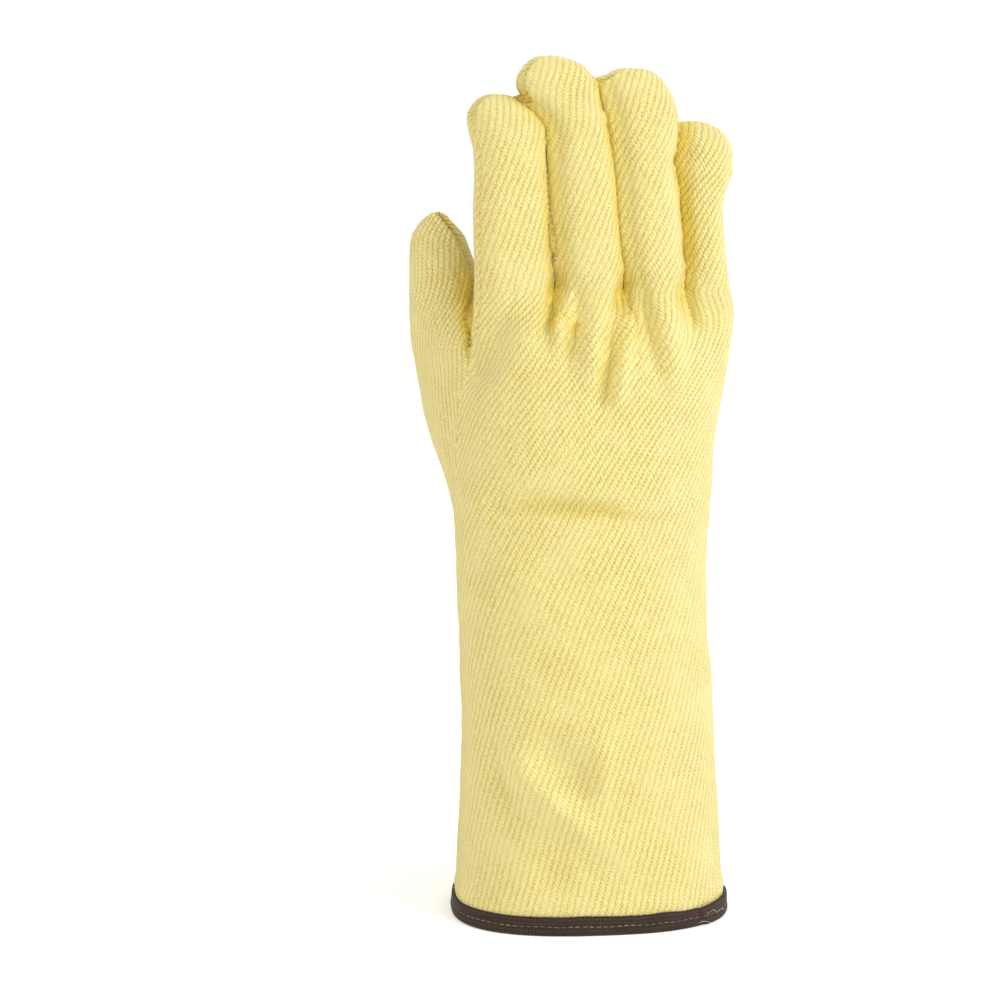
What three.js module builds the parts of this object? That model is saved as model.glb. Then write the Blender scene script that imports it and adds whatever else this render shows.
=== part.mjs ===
import * as THREE from 'three'

// A right-hand work glove of yellow aramid twill, standing on its hem with the fingers up.
// Millimetres. The origin is the centre of the hand opening, +Z runs to the fingertips,
// -Y is the back of the hand and -X is the thumb's side.

// Driving sizes.
const rootHeight = 262 // hem to the roots of the fingers
const fingerLength = 95 // finger roots to the tip of the middle finger
const gloveWidth = 114 // across the cuff at the hem
const gloveDepth = 78 // back to palm at the hem
const clothThickness = 2.8 // twill with its raised nap
const seamGap = 0.36 // between two panels along a seam
const bindingHeight = 8
const tapeThickness = 1.2
const tapeGap = 0.35 // between the folded tape and the cloth

// Heights of the seams and crotches, as shares of rootHeight.
const wristSeam = 0.6
const thumbCrotch = 0.908
const frontsSeam = 0.98 // foot of the piece that fronts the middle and ring fingers

const table = (names, rows) => rows.map(row => Object.fromEntries(names.split(' ').map((n, i) => [n, row[i]])))

// Outline of the cuff and hand. height: share of rootHeight; left and right: of gloveWidth;
// front (the back of the hand) and rear: of gloveDepth; square: the superellipse's exponent.
const handSections = table('height left right front rear square', [
  [0.00, 0.501, 0.509, 0.495, 0.495, 2.55],
  [0.09, 0.478, 0.498, 0.488, 0.492, 2.40],
  [0.17, 0.469, 0.487, 0.480, 0.485, 2.28],
  [0.25, 0.465, 0.474, 0.474, 0.474, 2.22],
  [0.34, 0.463, 0.462, 0.465, 0.462, 2.20],
  [0.41, 0.467, 0.449, 0.456, 0.450, 2.18],
  [0.47, 0.473, 0.438, 0.446, 0.434, 2.18],
  [0.53, 0.479, 0.432, 0.437, 0.418, 2.18],
  [0.58, 0.482, 0.432, 0.430, 0.409, 2.18],
  [0.64, 0.484, 0.437, 0.421, 0.405, 2.20],
  [0.70, 0.482, 0.447, 0.410, 0.400, 2.22],
  [0.765, 0.475, 0.456, 0.395, 0.388, 2.26],
  [0.83, 0.464, 0.475, 0.372, 0.370, 2.32],
  [0.88, 0.451, 0.496, 0.350, 0.345, 2.38],
  [0.93, 0.437, 0.512, 0.320, 0.310, 2.44],
  [0.965, 0.428, 0.519, 0.295, 0.280, 2.48],
  [1.00, 0.420, 0.513, 0.270, 0.250, 2.50]
])

// Where the seams and the lines between fingers run round the hand, in degrees from the middle
// of its back, at heights that are shares of rootHeight. thumbSide and littleSide are the side
// seams, the gaps are the lines below the finger crotches, valley is the crease between palm
// and thumb, and thumbEdge is the seam along the thumb's outer edge.
const seamLines = table('height thumbSide littleSide littleGap ringGap middleGap valley thumbEdge', [
  [0.00, -93, 93, 116, 140, 162, 182, 206],
  [0.50, -93, 93, 116, 140, 162, 182, 206],
  [0.60, -90, 93, 117, 141, 163, 183, 209],
  [0.70, -86, 93, 118, 143, 164, 187, 216],
  [0.765, -85, 93, 119, 146, 168, 193, 226],
  [0.83, -84, 92, 122, 152, 176, 204, 236],
  [0.88, -83, 92, 127, 158, 184, 215, 244],
  [0.908, -82, 92, 131, 162, 189, 222, 248],
  [0.96, -81, 91, 137, 168, 195, 230, 255],
  [1.00, -80, 90, 141, 171, 199, 235, 258]
])
const backGaps = [-19.5, 9.5, 39.5]

// Ovals of the fingers. height: share of fingerLength above the roots; x and halfWidth: shares
// of gloveWidth; y and halfDepth: of gloveDepth. The last row is the fingertip.
const fingers = {
  index: table('height x y halfWidth halfDepth', [
    [-0.10, -0.258, -0.030, 0.160, 0.215],
    [0.00, -0.260, -0.022, 0.152, 0.200],
    [0.06, -0.266, -0.018, 0.141, 0.192],
    [0.18, -0.268, -0.012, 0.137, 0.187],
    [0.34, -0.273, -0.010, 0.134, 0.183],
    [0.49, -0.276, -0.010, 0.127, 0.180],
    [0.60, -0.281, -0.012, 0.126, 0.180],
    [0.69, -0.294, -0.012, 0.135, 0.178],
    [0.755, -0.313, -0.010, 0.122, 0.158],
    [0.80, -0.318, -0.008, 0.088, 0.120],
    [0.825, -0.321, -0.006, 0.049, 0.070],
    [0.837, -0.322, -0.006, 0, 0]
  ]),
  middle: table('height x y halfWidth halfDepth', [
    [-0.10, 0.010, -0.026, 0.120, 0.210],
    [0.00, 0.007, -0.018, 0.113, 0.195],
    [0.14, -0.003, -0.012, 0.116, 0.190],
    [0.30, -0.017, -0.008, 0.115, 0.187],
    [0.45, -0.025, -0.004, 0.115, 0.184],
    [0.60, -0.037, 0.000, 0.110, 0.182],
    [0.685, -0.045, 0.004, 0.105, 0.182],
    [0.747, -0.063, 0.008, 0.114, 0.182],
    [0.80, -0.088, 0.012, 0.133, 0.180],
    [0.866, -0.111, 0.014, 0.143, 0.170],
    [0.914, -0.118, 0.014, 0.133, 0.148],
    [0.958, -0.124, 0.014, 0.102, 0.108],
    [0.985, -0.136, 0.014, 0.058, 0.064],
    [1.00, -0.146, 0.014, 0, 0]
  ]),
  ring: table('height x y halfWidth halfDepth', [
    [-0.10, 0.232, -0.005, 0.112, 0.200],
    [0.00, 0.230, 0.000, 0.107, 0.188],
    [0.14, 0.226, 0.004, 0.104, 0.184],
    [0.27, 0.217, 0.006, 0.106, 0.182],
    [0.38, 0.208, 0.008, 0.105, 0.180],
    [0.46, 0.201, 0.010, 0.102, 0.176],
    [0.545, 0.191, 0.012, 0.100, 0.172],
    [0.62, 0.193, 0.014, 0.110, 0.178],
    [0.70, 0.198, 0.014, 0.125, 0.182],
    [0.755, 0.195, 0.014, 0.127, 0.180],
    [0.825, 0.181, 0.014, 0.125, 0.168],
    [0.863, 0.169, 0.014, 0.117, 0.150],
    [0.898, 0.161, 0.014, 0.104, 0.124],
    [0.929, 0.151, 0.014, 0.074, 0.086],
    [0.948, 0.145, 0.014, 0, 0]
  ]),
  little: table('height x y halfWidth halfDepth', [
    [-0.10, 0.430, 0.060, 0.092, 0.175],
    [0.00, 0.424, 0.075, 0.088, 0.165],
    [0.14, 0.416, 0.094, 0.084, 0.160],
    [0.26, 0.406, 0.098, 0.084, 0.158],
    [0.36, 0.400, 0.096, 0.086, 0.156],
    [0.417, 0.401, 0.094, 0.091, 0.158],
    [0.464, 0.405, 0.090, 0.101, 0.160],
    [0.51, 0.412, 0.090, 0.108, 0.160],
    [0.583, 0.413, 0.090, 0.108, 0.154],
    [0.63, 0.410, 0.090, 0.098, 0.140],
    [0.662, 0.406, 0.090, 0.086, 0.118],
    [0.70, 0.395, 0.090, 0.058, 0.078],
    [0.723, 0.384, 0.090, 0, 0]
  ])
}
const order = ['index', 'middle', 'ring', 'little']

// Ovals of the thumb. height: share of rootHeight; sideSeam: where its inner seam runs, in degrees
// from the oval's front; the rest as for the fingers.
const thumbSections = table('height x y halfWidth halfDepth sideSeam', [
  [0.60, -0.330, 0.120, 0.190, 0.260, 340],
  [0.70, -0.388, 0.190, 0.186, 0.237, 340],
  [0.765, -0.410, 0.256, 0.190, 0.224, 342],
  [0.83, -0.430, 0.308, 0.180, 0.212, 345],
  [0.86, -0.447, 0.333, 0.170, 0.210, 345],
  [0.908, -0.468, 0.362, 0.163, 0.206, 345],
  [0.945, -0.483, 0.376, 0.154, 0.202, 348],
  [0.985, -0.494, 0.385, 0.144, 0.196, 374],
  [1.015, -0.505, 0.388, 0.132, 0.186, 392],
  [1.05, -0.523, 0.390, 0.112, 0.168, 402],
  [1.08, -0.534, 0.390, 0.091, 0.140, 406],
  [1.101, -0.536, 0.390, 0.055, 0.092, 408],
  [1.12, -0.535, 0.390, 0, 0, 408]
])

// Heights of the rows of the cuff and hand, as shares of rootHeight.
const handRows = [0.033, 0.07, 0.12, 0.19, 0.26, 0.33, 0.40, 0.47, 0.54, wristSeam, 0.65, 0.70, 0.745, 0.79,
  0.83, 0.87, thumbCrotch, 0.935, 0.96, frontsSeam, 1]

// Folds of the back and palm, each a valley (or with a negative depth a ridge) from one point
// to another. Across the glove: shares of gloveWidth; up it: of rootHeight; depth: of
// gloveDepth; breadth: of gloveWidth.
const folds = {
  back: table('x1 height1 x2 height2 depth breadth', [
    [-0.104, 1.000, -0.150, 0.939, 0.032, 0.026],
    [-0.034, 1.000, -0.026, 0.955, 0.020, 0.020],
    [-0.026, 0.955, -0.060, 0.907, 0.016, 0.022],
    [0.128, 1.000, 0.084, 0.939, 0.034, 0.028],
    [0.084, 0.939, 0.048, 0.860, 0.026, 0.030],
    [0.193, 1.000, 0.228, 0.890, 0.012, 0.036],
    [0.354, 1.000, 0.380, 0.954, 0.028, 0.026],
    [-0.042, 0.661, 0.378, 0.646, 0.010, 0.030],
    [0.013, 0.344, 0.050, 0.226, 0.020, 0.050],
    [0.050, 0.270, 0.065, 0.250, 0.020, 0.090],
    [-0.321, 0.260, -0.211, 0.176, -0.016, 0.050],
    [0.300, 0.450, 0.420, 0.300, 0.008, 0.080]
  ]),
  palm: table('x1 height1 x2 height2 depth breadth', [
    [-0.160, 0.946, -0.118, 0.878, 0.050, 0.038],
    [-0.118, 0.878, -0.075, 0.744, 0.048, 0.036],
    [0.050, 0.866, -0.036, 0.700, 0.034, 0.065],
    [-0.045, 0.850, -0.040, 0.760, -0.022, 0.036],
    [-0.100, 0.620, 0.300, 0.615, 0.012, 0.030]
  ])
}

// Creases under the pads of two fingertips: height as for the fingers, slope and breadth
// as shares of gloveWidth, depth as a share of gloveDepth.
const creases = table('finger height slope breadth depth', [
  ['ring', 0.700, 0.10, 0.020, 0.020],
  ['little', 0.560, -0.06, 0.020, 0.024]
])

const columnsPerFinger = 8
const rearColumns = 4
const thumbColumns = 12
const webColumns = 3
const frontEnd = 4 * columnsPerFinger
const rearEnd = frontEnd + 4 * rearColumns
const columns = rearEnd + thumbColumns

const { degToRad: rad, lerp } = THREE.MathUtils
const ease = t => THREE.MathUtils.smoothstep(t, 0, 1)

// One column of a table at a height, as a smooth curve through its rows.
function read(rows, name, height) {
  const last = rows.length - 1
  if (height <= rows[0].height) return rows[0][name]
  if (height >= rows[last].height) return rows[last][name]
  const i = rows.findIndex(r => r.height > height) - 1
  const slope = k => {
    const a = rows[Math.max(k - 1, 0)]
    const b = rows[Math.min(k + 1, last)]
    return (b[name] - a[name]) / (b.height - a.height)
  }
  const span = rows[i + 1].height - rows[i].height
  const t = (height - rows[i].height) / span
  const [p, q] = [rows[i][name], rows[i + 1][name]]
  const [m, n] = [slope(i) * span, slope(i + 1) * span]
  return p + t * (m + t * (3 * (q - p) - 2 * m - n + t * (2 * (p - q) + m + n)))
}

const power = (value, exponent) => Math.sign(value) * Math.abs(value) ** exponent

function handPoint(degrees, z) {
  const height = z / rootHeight
  const at = name => read(handSections, name, height)
  const left = -at('left') * gloveWidth
  const right = at('right') * gloveWidth
  const bend = 2 / at('square')
  const [s, c] = [Math.sin(rad(degrees)), Math.cos(rad(degrees))]
  const depth = (c > 0 ? at('front') : at('rear')) * gloveDepth
  const x = (left + right) / 2 + (right - left) / 2 * power(s, bend)
  return new THREE.Vector3(x, -depth * power(c, bend), z)
}

function ovalPoint(rows, height, degrees, z) {
  const at = (name, size) => read(rows, name, height) * size
  return new THREE.Vector3(
    at('x', gloveWidth) + at('halfWidth', gloveWidth) * Math.sin(rad(degrees)),
    at('y', gloveDepth) - at('halfDepth', gloveDepth) * Math.cos(rad(degrees)), z)
}

const fingerHeight = z => (z - rootHeight) / fingerLength
const fingerPoint = (f, degrees, z) => ovalPoint(fingers[order[f]], fingerHeight(z), degrees, z)
const thumbPoint = (degrees, z) => ovalPoint(thumbSections, z / rootHeight, degrees, z)

// How far the hand has turned into fingers at z, and how far two neighbours have parted.
const fingerShare = z => ease((z / rootHeight - 0.85) / 0.18) ** 1.6
const parted = z => ease((z - rootHeight) / (0.1 * fingerLength))
const thumbShare = z => {
  const rise = (z / rootHeight - wristSeam) / (thumbCrotch - wristSeam)
  return 1 - (1 - THREE.MathUtils.clamp(rise, 0, 1)) ** 2.2
}
const thumbParted = z => ease((z / rootHeight - thumbCrotch) / 0.075)

// Angles round a finger's oval: sides face the neighbours, and the front and rear arcs end
// short of them.
const frontCorner = 70
const rearCorner = 110
const indexSeam = -72
const indexValley = 232
const thumbValley = 98
const thumbEdge = 233
const sideSeam = z => read(thumbSections, 'sideSeam', z / rootHeight)

// The point between fingers f and f + 1 that both share at the crotch.
const shared = (f, degrees, z) => fingerPoint(f, degrees, z).lerp(fingerPoint(f + 1, -degrees, z), 0.5)

function fingerArc(f, from, to, t, z) {
  const point = fingerPoint(f, from + (to - from) * t, z)
  const hold = 1 - parted(z)
  for (const [end, away] of [[from, t], [to, 1 - t]]) {
    const turn = end > 180 ? end - 360 : end
    if (Math.abs(turn) !== frontCorner && Math.abs(turn) !== rearCorner) continue
    const target = turn > 0 ? shared(f, turn, z) : shared(f - 1, -turn, z)
    point.addScaledVector(target.sub(fingerPoint(f, end, z)), hold * (1 - ease(away / 0.35)))
  }
  return point
}

function lineAngle(u, z) {
  const at = name => read(seamLines, name, z / rootHeight)
  const stops = [
    [0, at('thumbSide')], ...backGaps.map((angle, i) => [(i + 1) * columnsPerFinger, angle]),
    [frontEnd, at('littleSide')], [frontEnd + rearColumns, at('littleGap')],
    [frontEnd + 2 * rearColumns, at('ringGap')], [frontEnd + 3 * rearColumns, at('middleGap')],
    [rearEnd, at('valley')], [rearEnd + thumbColumns / 2, at('thumbEdge')], [columns, at('thumbSide') + 360]
  ]
  const i = Math.max(stops.findIndex(stop => stop[0] >= u), 1)
  const [[u0, a0], [u1, a1]] = [stops[i - 1], stops[i]]
  return a0 + (a1 - a0) * (u - u0) / (u1 - u0)
}

// The back and the palm, at a column of finger f.
function backPointOf(f, u, z) {
  const arc = fingerArc(f, f === 0 ? indexSeam : -frontCorner, f === 3 ? 90 : frontCorner,
    u / columnsPerFinger - f, z)
  return handPoint(lineAngle(u, z), z).lerp(arc, fingerShare(z))
}

function palmPointOf(f, u, z) {
  const arc = fingerArc(f, f === 3 ? 90 : rearCorner, f === 0 ? indexValley : 360 - rearCorner,
    (u - frontEnd) / rearColumns - (3 - f), z)
  return handPoint(lineAngle(u, z), z).lerp(arc, fingerShare(z))
}

const backPoint = (u, z) => backPointOf(Math.min(Math.floor(u / columnsPerFinger), 3), u, z)
const palmPoint = (u, z) => palmPointOf(3 - Math.min(Math.floor((u - frontEnd) / rearColumns), 3), u, z)

// The index finger's side above the thumb's crotch, from the valley to the side seam.
function webPoint(t, z) {
  const from = lineAngle(rearEnd, z)
  const to = lineAngle(columns, z)
  return handPoint(from + (to - from) * t, z)
    .lerp(fingerPoint(0, indexValley + (360 + indexSeam - indexValley) * t, z), fingerShare(z))
}

// The thumb's own surface from the valley round its outer edge to the side seam.
function thumbArc(t, z) {
  const side = sideSeam(z)
  const angle = t < 0.5 ? lerp(thumbValley, thumbEdge, 2 * t) : lerp(thumbEdge, side, 2 * t - 1)
  const point = thumbPoint(angle, z)
  const hold = 1 - thumbParted(z)
  for (const [end, away, corner] of [[thumbValley, t, palmPoint(rearEnd, z)], [side, 1 - t, backPoint(0, z)]]) {
    point.addScaledVector(corner.sub(thumbPoint(end, z)), hold * (1 - ease(away / 0.34)))
  }
  return point
}

function lobePoint(t, z) {
  return handPoint(lineAngle(rearEnd + t * thumbColumns, z), z).lerp(thumbArc(t, z), thumbShare(z))
}

function thumbInside(t, z) {
  const point = thumbPoint(lerp(sideSeam(z) - 360, thumbValley, t), z)
  return point.lerp(webPoint(1 - t, z), 1 - thumbParted(z))
}

function fingerGap(f, degrees, z) {
  const own = fingerPoint(f, degrees, z)
  const target = degrees > 0 ? shared(f, degrees, z) : shared(f - 1, -degrees, z)
  return own.lerp(target, 1 - parted(z))
}

// Presses the folds into a point of the hand. facing runs from 1 on the back to -1 on the palm.
function fold(point, facing) {
  const list = facing > 0 ? folds.back : folds.palm
  let depth = 0
  for (const row of list) {
    const start = new THREE.Vector2(row.x1 * gloveWidth, row.height1 * rootHeight)
    const run = new THREE.Vector2(row.x2 * gloveWidth, row.height2 * rootHeight).sub(start)
    const from = new THREE.Vector2(point.x, point.z).sub(start)
    const along = THREE.MathUtils.clamp(from.dot(run) / run.lengthSq(), 0, 1)
    const away = from.addScaledVector(run, -along).length() / (row.breadth * gloveWidth)
    depth += row.depth * gloveDepth * Math.exp(-away * away)
  }
  point.y += depth * Math.sign(facing) * ease(3 * Math.abs(facing))
  return point
}

// Presses the crease under a fingertip's pad, all round the finger.
function crease(f, point) {
  const row = creases.find(c => c.finger === order[f])
  if (!row) return point
  const middle = new THREE.Vector2(...['x', 'y'].map(n => read(fingers[order[f]], n, row.height)))
    .multiply(new THREE.Vector2(gloveWidth, gloveDepth))
  const off = new THREE.Vector2(point.x, point.y).sub(middle)
  const height = rootHeight + row.height * fingerLength + row.slope * off.x
  const away = (point.z - height) / (row.breadth * gloveWidth)
  const pull = row.depth * gloveDepth * Math.exp(-away * away) / off.length()
  point.x -= off.x * pull
  point.y -= off.y * pull
  return point
}

// The outside of the glove is one skin of labelled triangles on shared points.
const points = []
const faces = []
const crotchPoints = [] // inside the crotches, where the skin faces straight up

function addPoint(point) {
  points.push(point)
  return points.length - 1
}

function addBand(lower, upper, panels) {
  panels.forEach((panel, i) => {
    const [a, b, c, d] = [lower[i], lower[i + 1], upper[i + 1], upper[i]]
    faces.push({ panel, loop: [a, b, c] })
    if (c !== d) faces.push({ panel, loop: [a, c, d] })
  })
}

const facing = (u, z) => Math.cos(rad(lineAngle(u, z)))
const span = (from, to) => Array.from({ length: to - from }, (_, i) => from + i)

// The row from the thumb's side seam round the back and palm to the valley by the thumb.
function handRow(z) {
  return span(0, rearEnd + 1).map(u =>
    addPoint(fold(u <= frontEnd ? backPoint(u, z) : palmPoint(u, z), facing(u, z))))
}

const lobeRow = (row, z) => [row[rearEnd],
  ...span(1, thumbColumns).map(i => addPoint(fold(lobePoint(i / thumbColumns, z), facing(rearEnd + i, z) / 3))), row[0]]

const webRow = (row, z) => [row[rearEnd],
  ...span(1, webColumns).map(i => addPoint(webPoint(i / webColumns, z))), row[0]]

const repeat = (count, panel) => Array(count).fill(panel)

function handPanels(z) {
  if (z < wristSeam * rootHeight - 0.1) {
    return [...repeat(frontEnd, 'back_panel'), ...repeat(rearEnd - frontEnd, 'cuff_panel')]
  }
  const between = z > frontsSeam * rootHeight - 0.1 ? 'finger_fronts' : 'palm_panel'
  return [...repeat(frontEnd, 'back_panel'), ...repeat(rearColumns, 'palm_panel'),
    ...repeat(2 * rearColumns, between), ...repeat(rearColumns, 'palm_panel')]
}

function lobePanels(z) {
  if (z < wristSeam * rootHeight - 0.1) return repeat(thumbColumns, 'cuff_panel')
  return [...repeat(thumbColumns / 2, 'palm_panel'), ...repeat(thumbColumns / 2, 'thumb_back')]
}

// A tube on the closed ring foot: each part of around has the panel that starts there and a
// function that places it at a height. It rises through heights and ends in one tip point.
function addTube(foot, around, heights, tip) {
  const panels = around.map(part => part.panel)
  let lower = foot
  for (const z of heights) {
    const upper = around.map(part => addPoint(part.at(z)))
    addBand([...lower, lower[0]], [...upper, upper[0]], panels)
    lower = upper
  }
  const top = addPoint(tip)
  addBand([...lower, lower[0]], Array(lower.length + 1).fill(top), panels)
}

function addHand() {
  const hem = tapeThickness + 2 * tapeGap
  const heights = [hem, ...handRows.map(share => share * rootHeight)]
  const crotch = thumbCrotch * rootHeight
  let [row, side] = [null, null]
  let thumbFoot
  heights.forEach((z, i) => {
    const upper = handRow(z)
    const isLobe = z < crotch + 0.1
    const upperSide = isLobe ? lobeRow(upper, z) : webRow(upper, z)
    if (i > 0) {
      addBand(row, upper, handPanels(heights[i - 1]))
      addBand(side, upperSide, isLobe ? lobePanels(heights[i - 1]) : repeat(webColumns, 'palm_panel'))
    }
    [row, side] = [upper, upperSide]
    if (Math.abs(z - crotch) < 0.1) {
      const web = webRow(upper, z)
      crotchPoints.push(...web.slice(1, -1))
      thumbFoot = [...upperSide.slice(0, -1), ...web.slice(1).reverse()]
      side = web
    }
  })
  addThumb(thumbFoot)
  addFingers(row, side)
}

function addThumb(foot) {
  const around = [
    ...span(0, thumbColumns).map(i => ({
      panel: i < thumbColumns / 2 ? 'palm_panel' : 'thumb_back', at: z => thumbArc(i / thumbColumns, z)
    })),
    ...span(0, webColumns).map(i => ({ panel: 'palm_panel', at: z => thumbInside(i / webColumns, z) }))
  ]
  const rows = thumbSections.filter(r => r.height > thumbCrotch)
  const z = rows.at(-1).height * rootHeight
  addTube(foot, around, rows.slice(0, -1).map(r => r.height * rootHeight), thumbPoint(0, z))
}

// The four fingers stand on the top row of the hand, with one point between each two.
function addFingers(row, web) {
  const gaps = [0, 1, 2].map(f => addPoint(fingerGap(f, 90, rootHeight)))
  crotchPoints.push(...gaps)
  order.forEach((name, f) => {
    const back = `${name}_back`
    const rear = f === 1 || f === 2 ? 'finger_fronts' : 'palm_panel'
    const foot = []
    const around = []
    const add = (index, panel, place) => {
      foot.push(index)
      around.push({ panel, at: z => crease(f, place(z)) })
    }
    const first = f * columnsPerFinger
    for (const u of span(first, first + columnsPerFinger)) {
      add(row[u], back, z => backPointOf(f, u, z))
    }
    if (f < 3) {
      add(row[first + columnsPerFinger], back, z => fingerGap(f, frontCorner, z))
      add(gaps[f], rear, z => fingerGap(f, 90, z))
    }
    const rearFirst = frontEnd + (3 - f) * rearColumns
    for (const u of span(rearFirst, rearFirst + rearColumns)) {
      add(row[u], rear, z => palmPointOf(f, u, z))
    }
    if (f > 0) {
      add(row[rearFirst + rearColumns], rear, z => fingerGap(f, -rearCorner, z))
      add(gaps[f - 1], back, z => fingerGap(f, -90, z))
    } else {
      span(0, webColumns).forEach(i => add(web[i], rear, z => webPoint(i / webColumns, z)))
    }
    const rows = fingers[name].filter(r => r.height > 0)
    const top = rootHeight + rows.at(-1).height * fingerLength
    const heights = rows.slice(0, -1).map(r => rootHeight + r.height * fingerLength)
    addTube(foot, around, heights, fingerPoint(f, 0, top))
  })
}

// One panel as a closed wall: its outer faces, the same faces inside, and an edge all round.
// Along its border it stands back by half the seam's gap.
function panelGeometry(panel, normals) {
  const own = faces.filter(face => face.panel === panel).map(face => face.loop)
  const edges = new Set(own.flatMap(([a, b, c]) => [`${a} ${b}`, `${b} ${c}`, `${c} ${a}`]))
  const border = [...edges].map(e => e.split(' ').map(Number)).filter(([a, b]) => !edges.has(`${b} ${a}`))
  const inward = new Map()
  const hem = tapeThickness + 2 * tapeGap + 0.1
  for (const [a, b] of border) {
    if (Math.max(points[a].z, points[b].z) < hem) continue
    const out = normals[a].clone().add(normals[b])
    const side = out.cross(new THREE.Vector3().subVectors(points[b], points[a])).normalize()
    for (const v of [a, b]) inward.set(v, [...inward.get(v) ?? [], side])
  }
  const order = [...new Set(own.flat())]
  const place = new Map(order.map((v, i) => [v, i]))
  const outer = order.map(v => {
    const point = points[v].clone()
    const sides = inward.get(v)
    if (!sides) return point
    const sum = sides.reduce((total, s) => total.add(s), new THREE.Vector3())
    return point.addScaledVector(sum, seamGap / 2 * sides.length / Math.max(sum.lengthSq(), 1))
  })
  const inner = order.map((v, i) => outer[i].clone().addScaledVector(normals[v], -clothThickness))
  const count = order.length
  const index = []
  for (const [a, b, c] of own.map(loop => loop.map(v => place.get(v)))) {
    index.push(a, b, c, c + count, b + count, a + count)
  }
  for (const edge of border) {
    const [a, b] = edge.map(v => place.get(v))
    if (edge[0] < edge[1]) index.push(b, a, a + count, b, a + count, b + count)
    else index.push(b, a, b + count, a, a + count, b + count)
  }
  return geometry([...outer, ...inner], index)
}

function geometry(corners, index) {
  const shape = new THREE.BufferGeometry().setFromPoints(corners)
  shape.setIndex(index)
  shape.computeVertexNormals()
  return shape
}

function skinNormals() {
  const normals = points.map(() => new THREE.Vector3())
  for (const { loop: [a, b, c] } of faces) {
    const ab = new THREE.Vector3().subVectors(points[b], points[a])
    const ac = new THREE.Vector3().subVectors(points[c], points[a])
    const area = ab.cross(ac)
    for (const v of [a, b, c]) normals[v].add(area)
  }
  for (const v of crotchPoints) normals[v].set(0, 0, 1)
  return normals.map(n => n.normalize())
}

// The tape folded up over the hem, outside and inside: offsets out from the cloth's face and
// heights, round one cut through it.
function bindingGeometry() {
  const outside = tapeGap + tapeThickness
  const inside = -clothThickness - outside
  const profile = [
    [outside - 0.4, 0], [outside, 0.6], [outside, bindingHeight], [tapeGap, bindingHeight],
    [tapeGap, tapeThickness], [inside + tapeThickness, tapeThickness],
    [inside + tapeThickness, bindingHeight], [inside, bindingHeight], [inside, 0.6], [inside + 0.4, 0]
  ]
  const at = (u, z) => handPoint(lineAngle((u + columns) % columns, z), z)
  const corners = []
  const index = []
  for (let u = 0; u < columns; u++) {
    for (const [out, z] of profile) {
      const along = at(u + 1, z).sub(at(u - 1, z)).normalize()
      corners.push(at(u, z).add(new THREE.Vector3(along.y, -along.x, 0).multiplyScalar(out)))
    }
    for (let i = 0; i < profile.length; i++) {
      const [a, b] = [u, (u + 1) % columns].map(v => v * profile.length + i)
      const [d, c] = [u, (u + 1) % columns].map(v => v * profile.length + (i + 1) % profile.length)
      index.push(a, b, c, a, c, d)
    }
  }
  return geometry(corners, index)
}

addHand()
const normals = skinNormals()

function mesh(name, shape, colour, roughness) {
  const part = new THREE.Mesh(shape, new THREE.MeshStandardMaterial({ color: colour, roughness, metalness: 0 }))
  part.name = name
  return part
}

const twill = '#f0e098'
const paleTwill = '#e8d88e'
const brown = '#463430'
const glove = new THREE.Group()
glove.name = 'aramid_glove'
const panels = ['back_panel', ...order.map(name => `${name}_back`), 'palm_panel', 'finger_fronts', 'thumb_back',
  'cuff_panel']
for (const panel of panels) {
  const colour = panel === 'thumb_back' ? paleTwill : twill
  glove.add(mesh(panel, panelGeometry(panel, normals), colour, 0.95))
}
glove.add(mesh('hem_binding', bindingGeometry(), brown, 0.85))

export default glove
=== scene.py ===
import math

import bpy
import numpy as np
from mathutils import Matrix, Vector, noise
from mathutils.bvhtree import BVHTree


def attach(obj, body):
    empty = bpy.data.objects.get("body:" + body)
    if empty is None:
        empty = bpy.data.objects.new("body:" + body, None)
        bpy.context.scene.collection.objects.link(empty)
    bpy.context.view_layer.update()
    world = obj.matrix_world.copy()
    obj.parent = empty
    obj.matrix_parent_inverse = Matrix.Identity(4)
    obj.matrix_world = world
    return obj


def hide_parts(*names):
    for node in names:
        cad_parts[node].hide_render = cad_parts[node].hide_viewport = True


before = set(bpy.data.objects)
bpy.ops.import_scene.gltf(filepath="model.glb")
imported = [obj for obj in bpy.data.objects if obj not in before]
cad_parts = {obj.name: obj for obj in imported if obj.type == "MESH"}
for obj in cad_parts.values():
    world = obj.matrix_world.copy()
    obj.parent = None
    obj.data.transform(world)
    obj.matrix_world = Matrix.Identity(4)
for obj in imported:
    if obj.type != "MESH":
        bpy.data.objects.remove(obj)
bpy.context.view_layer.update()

# A right-hand work glove of yellow aramid twill, standing on its brown bound hem.
# Lengths are millimetres until a mesh is made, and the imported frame's axes are used:
# +Z to the fingertips, -Y the back of the hand, -X the thumb's side.
MM = 0.001
ROOT_HEIGHT = 262.0
FINGER_LENGTH = 95.0
GLOVE_WIDTH = 114.0
GLOVE_DEPTH = 78.0
CLOTH_THICKNESS = 2.8
TAPE_THICKNESS = 1.2
TAPE_GAP = 0.35
WRIST_SEAM = 0.6
THUMB_CROTCH = 0.908
FRONTS_SEAM = 0.98


def table(names, rows):
    """Rows of shares as one array for each named column."""
    return dict(zip(names.split(), np.array(rows, float).T))


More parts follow.
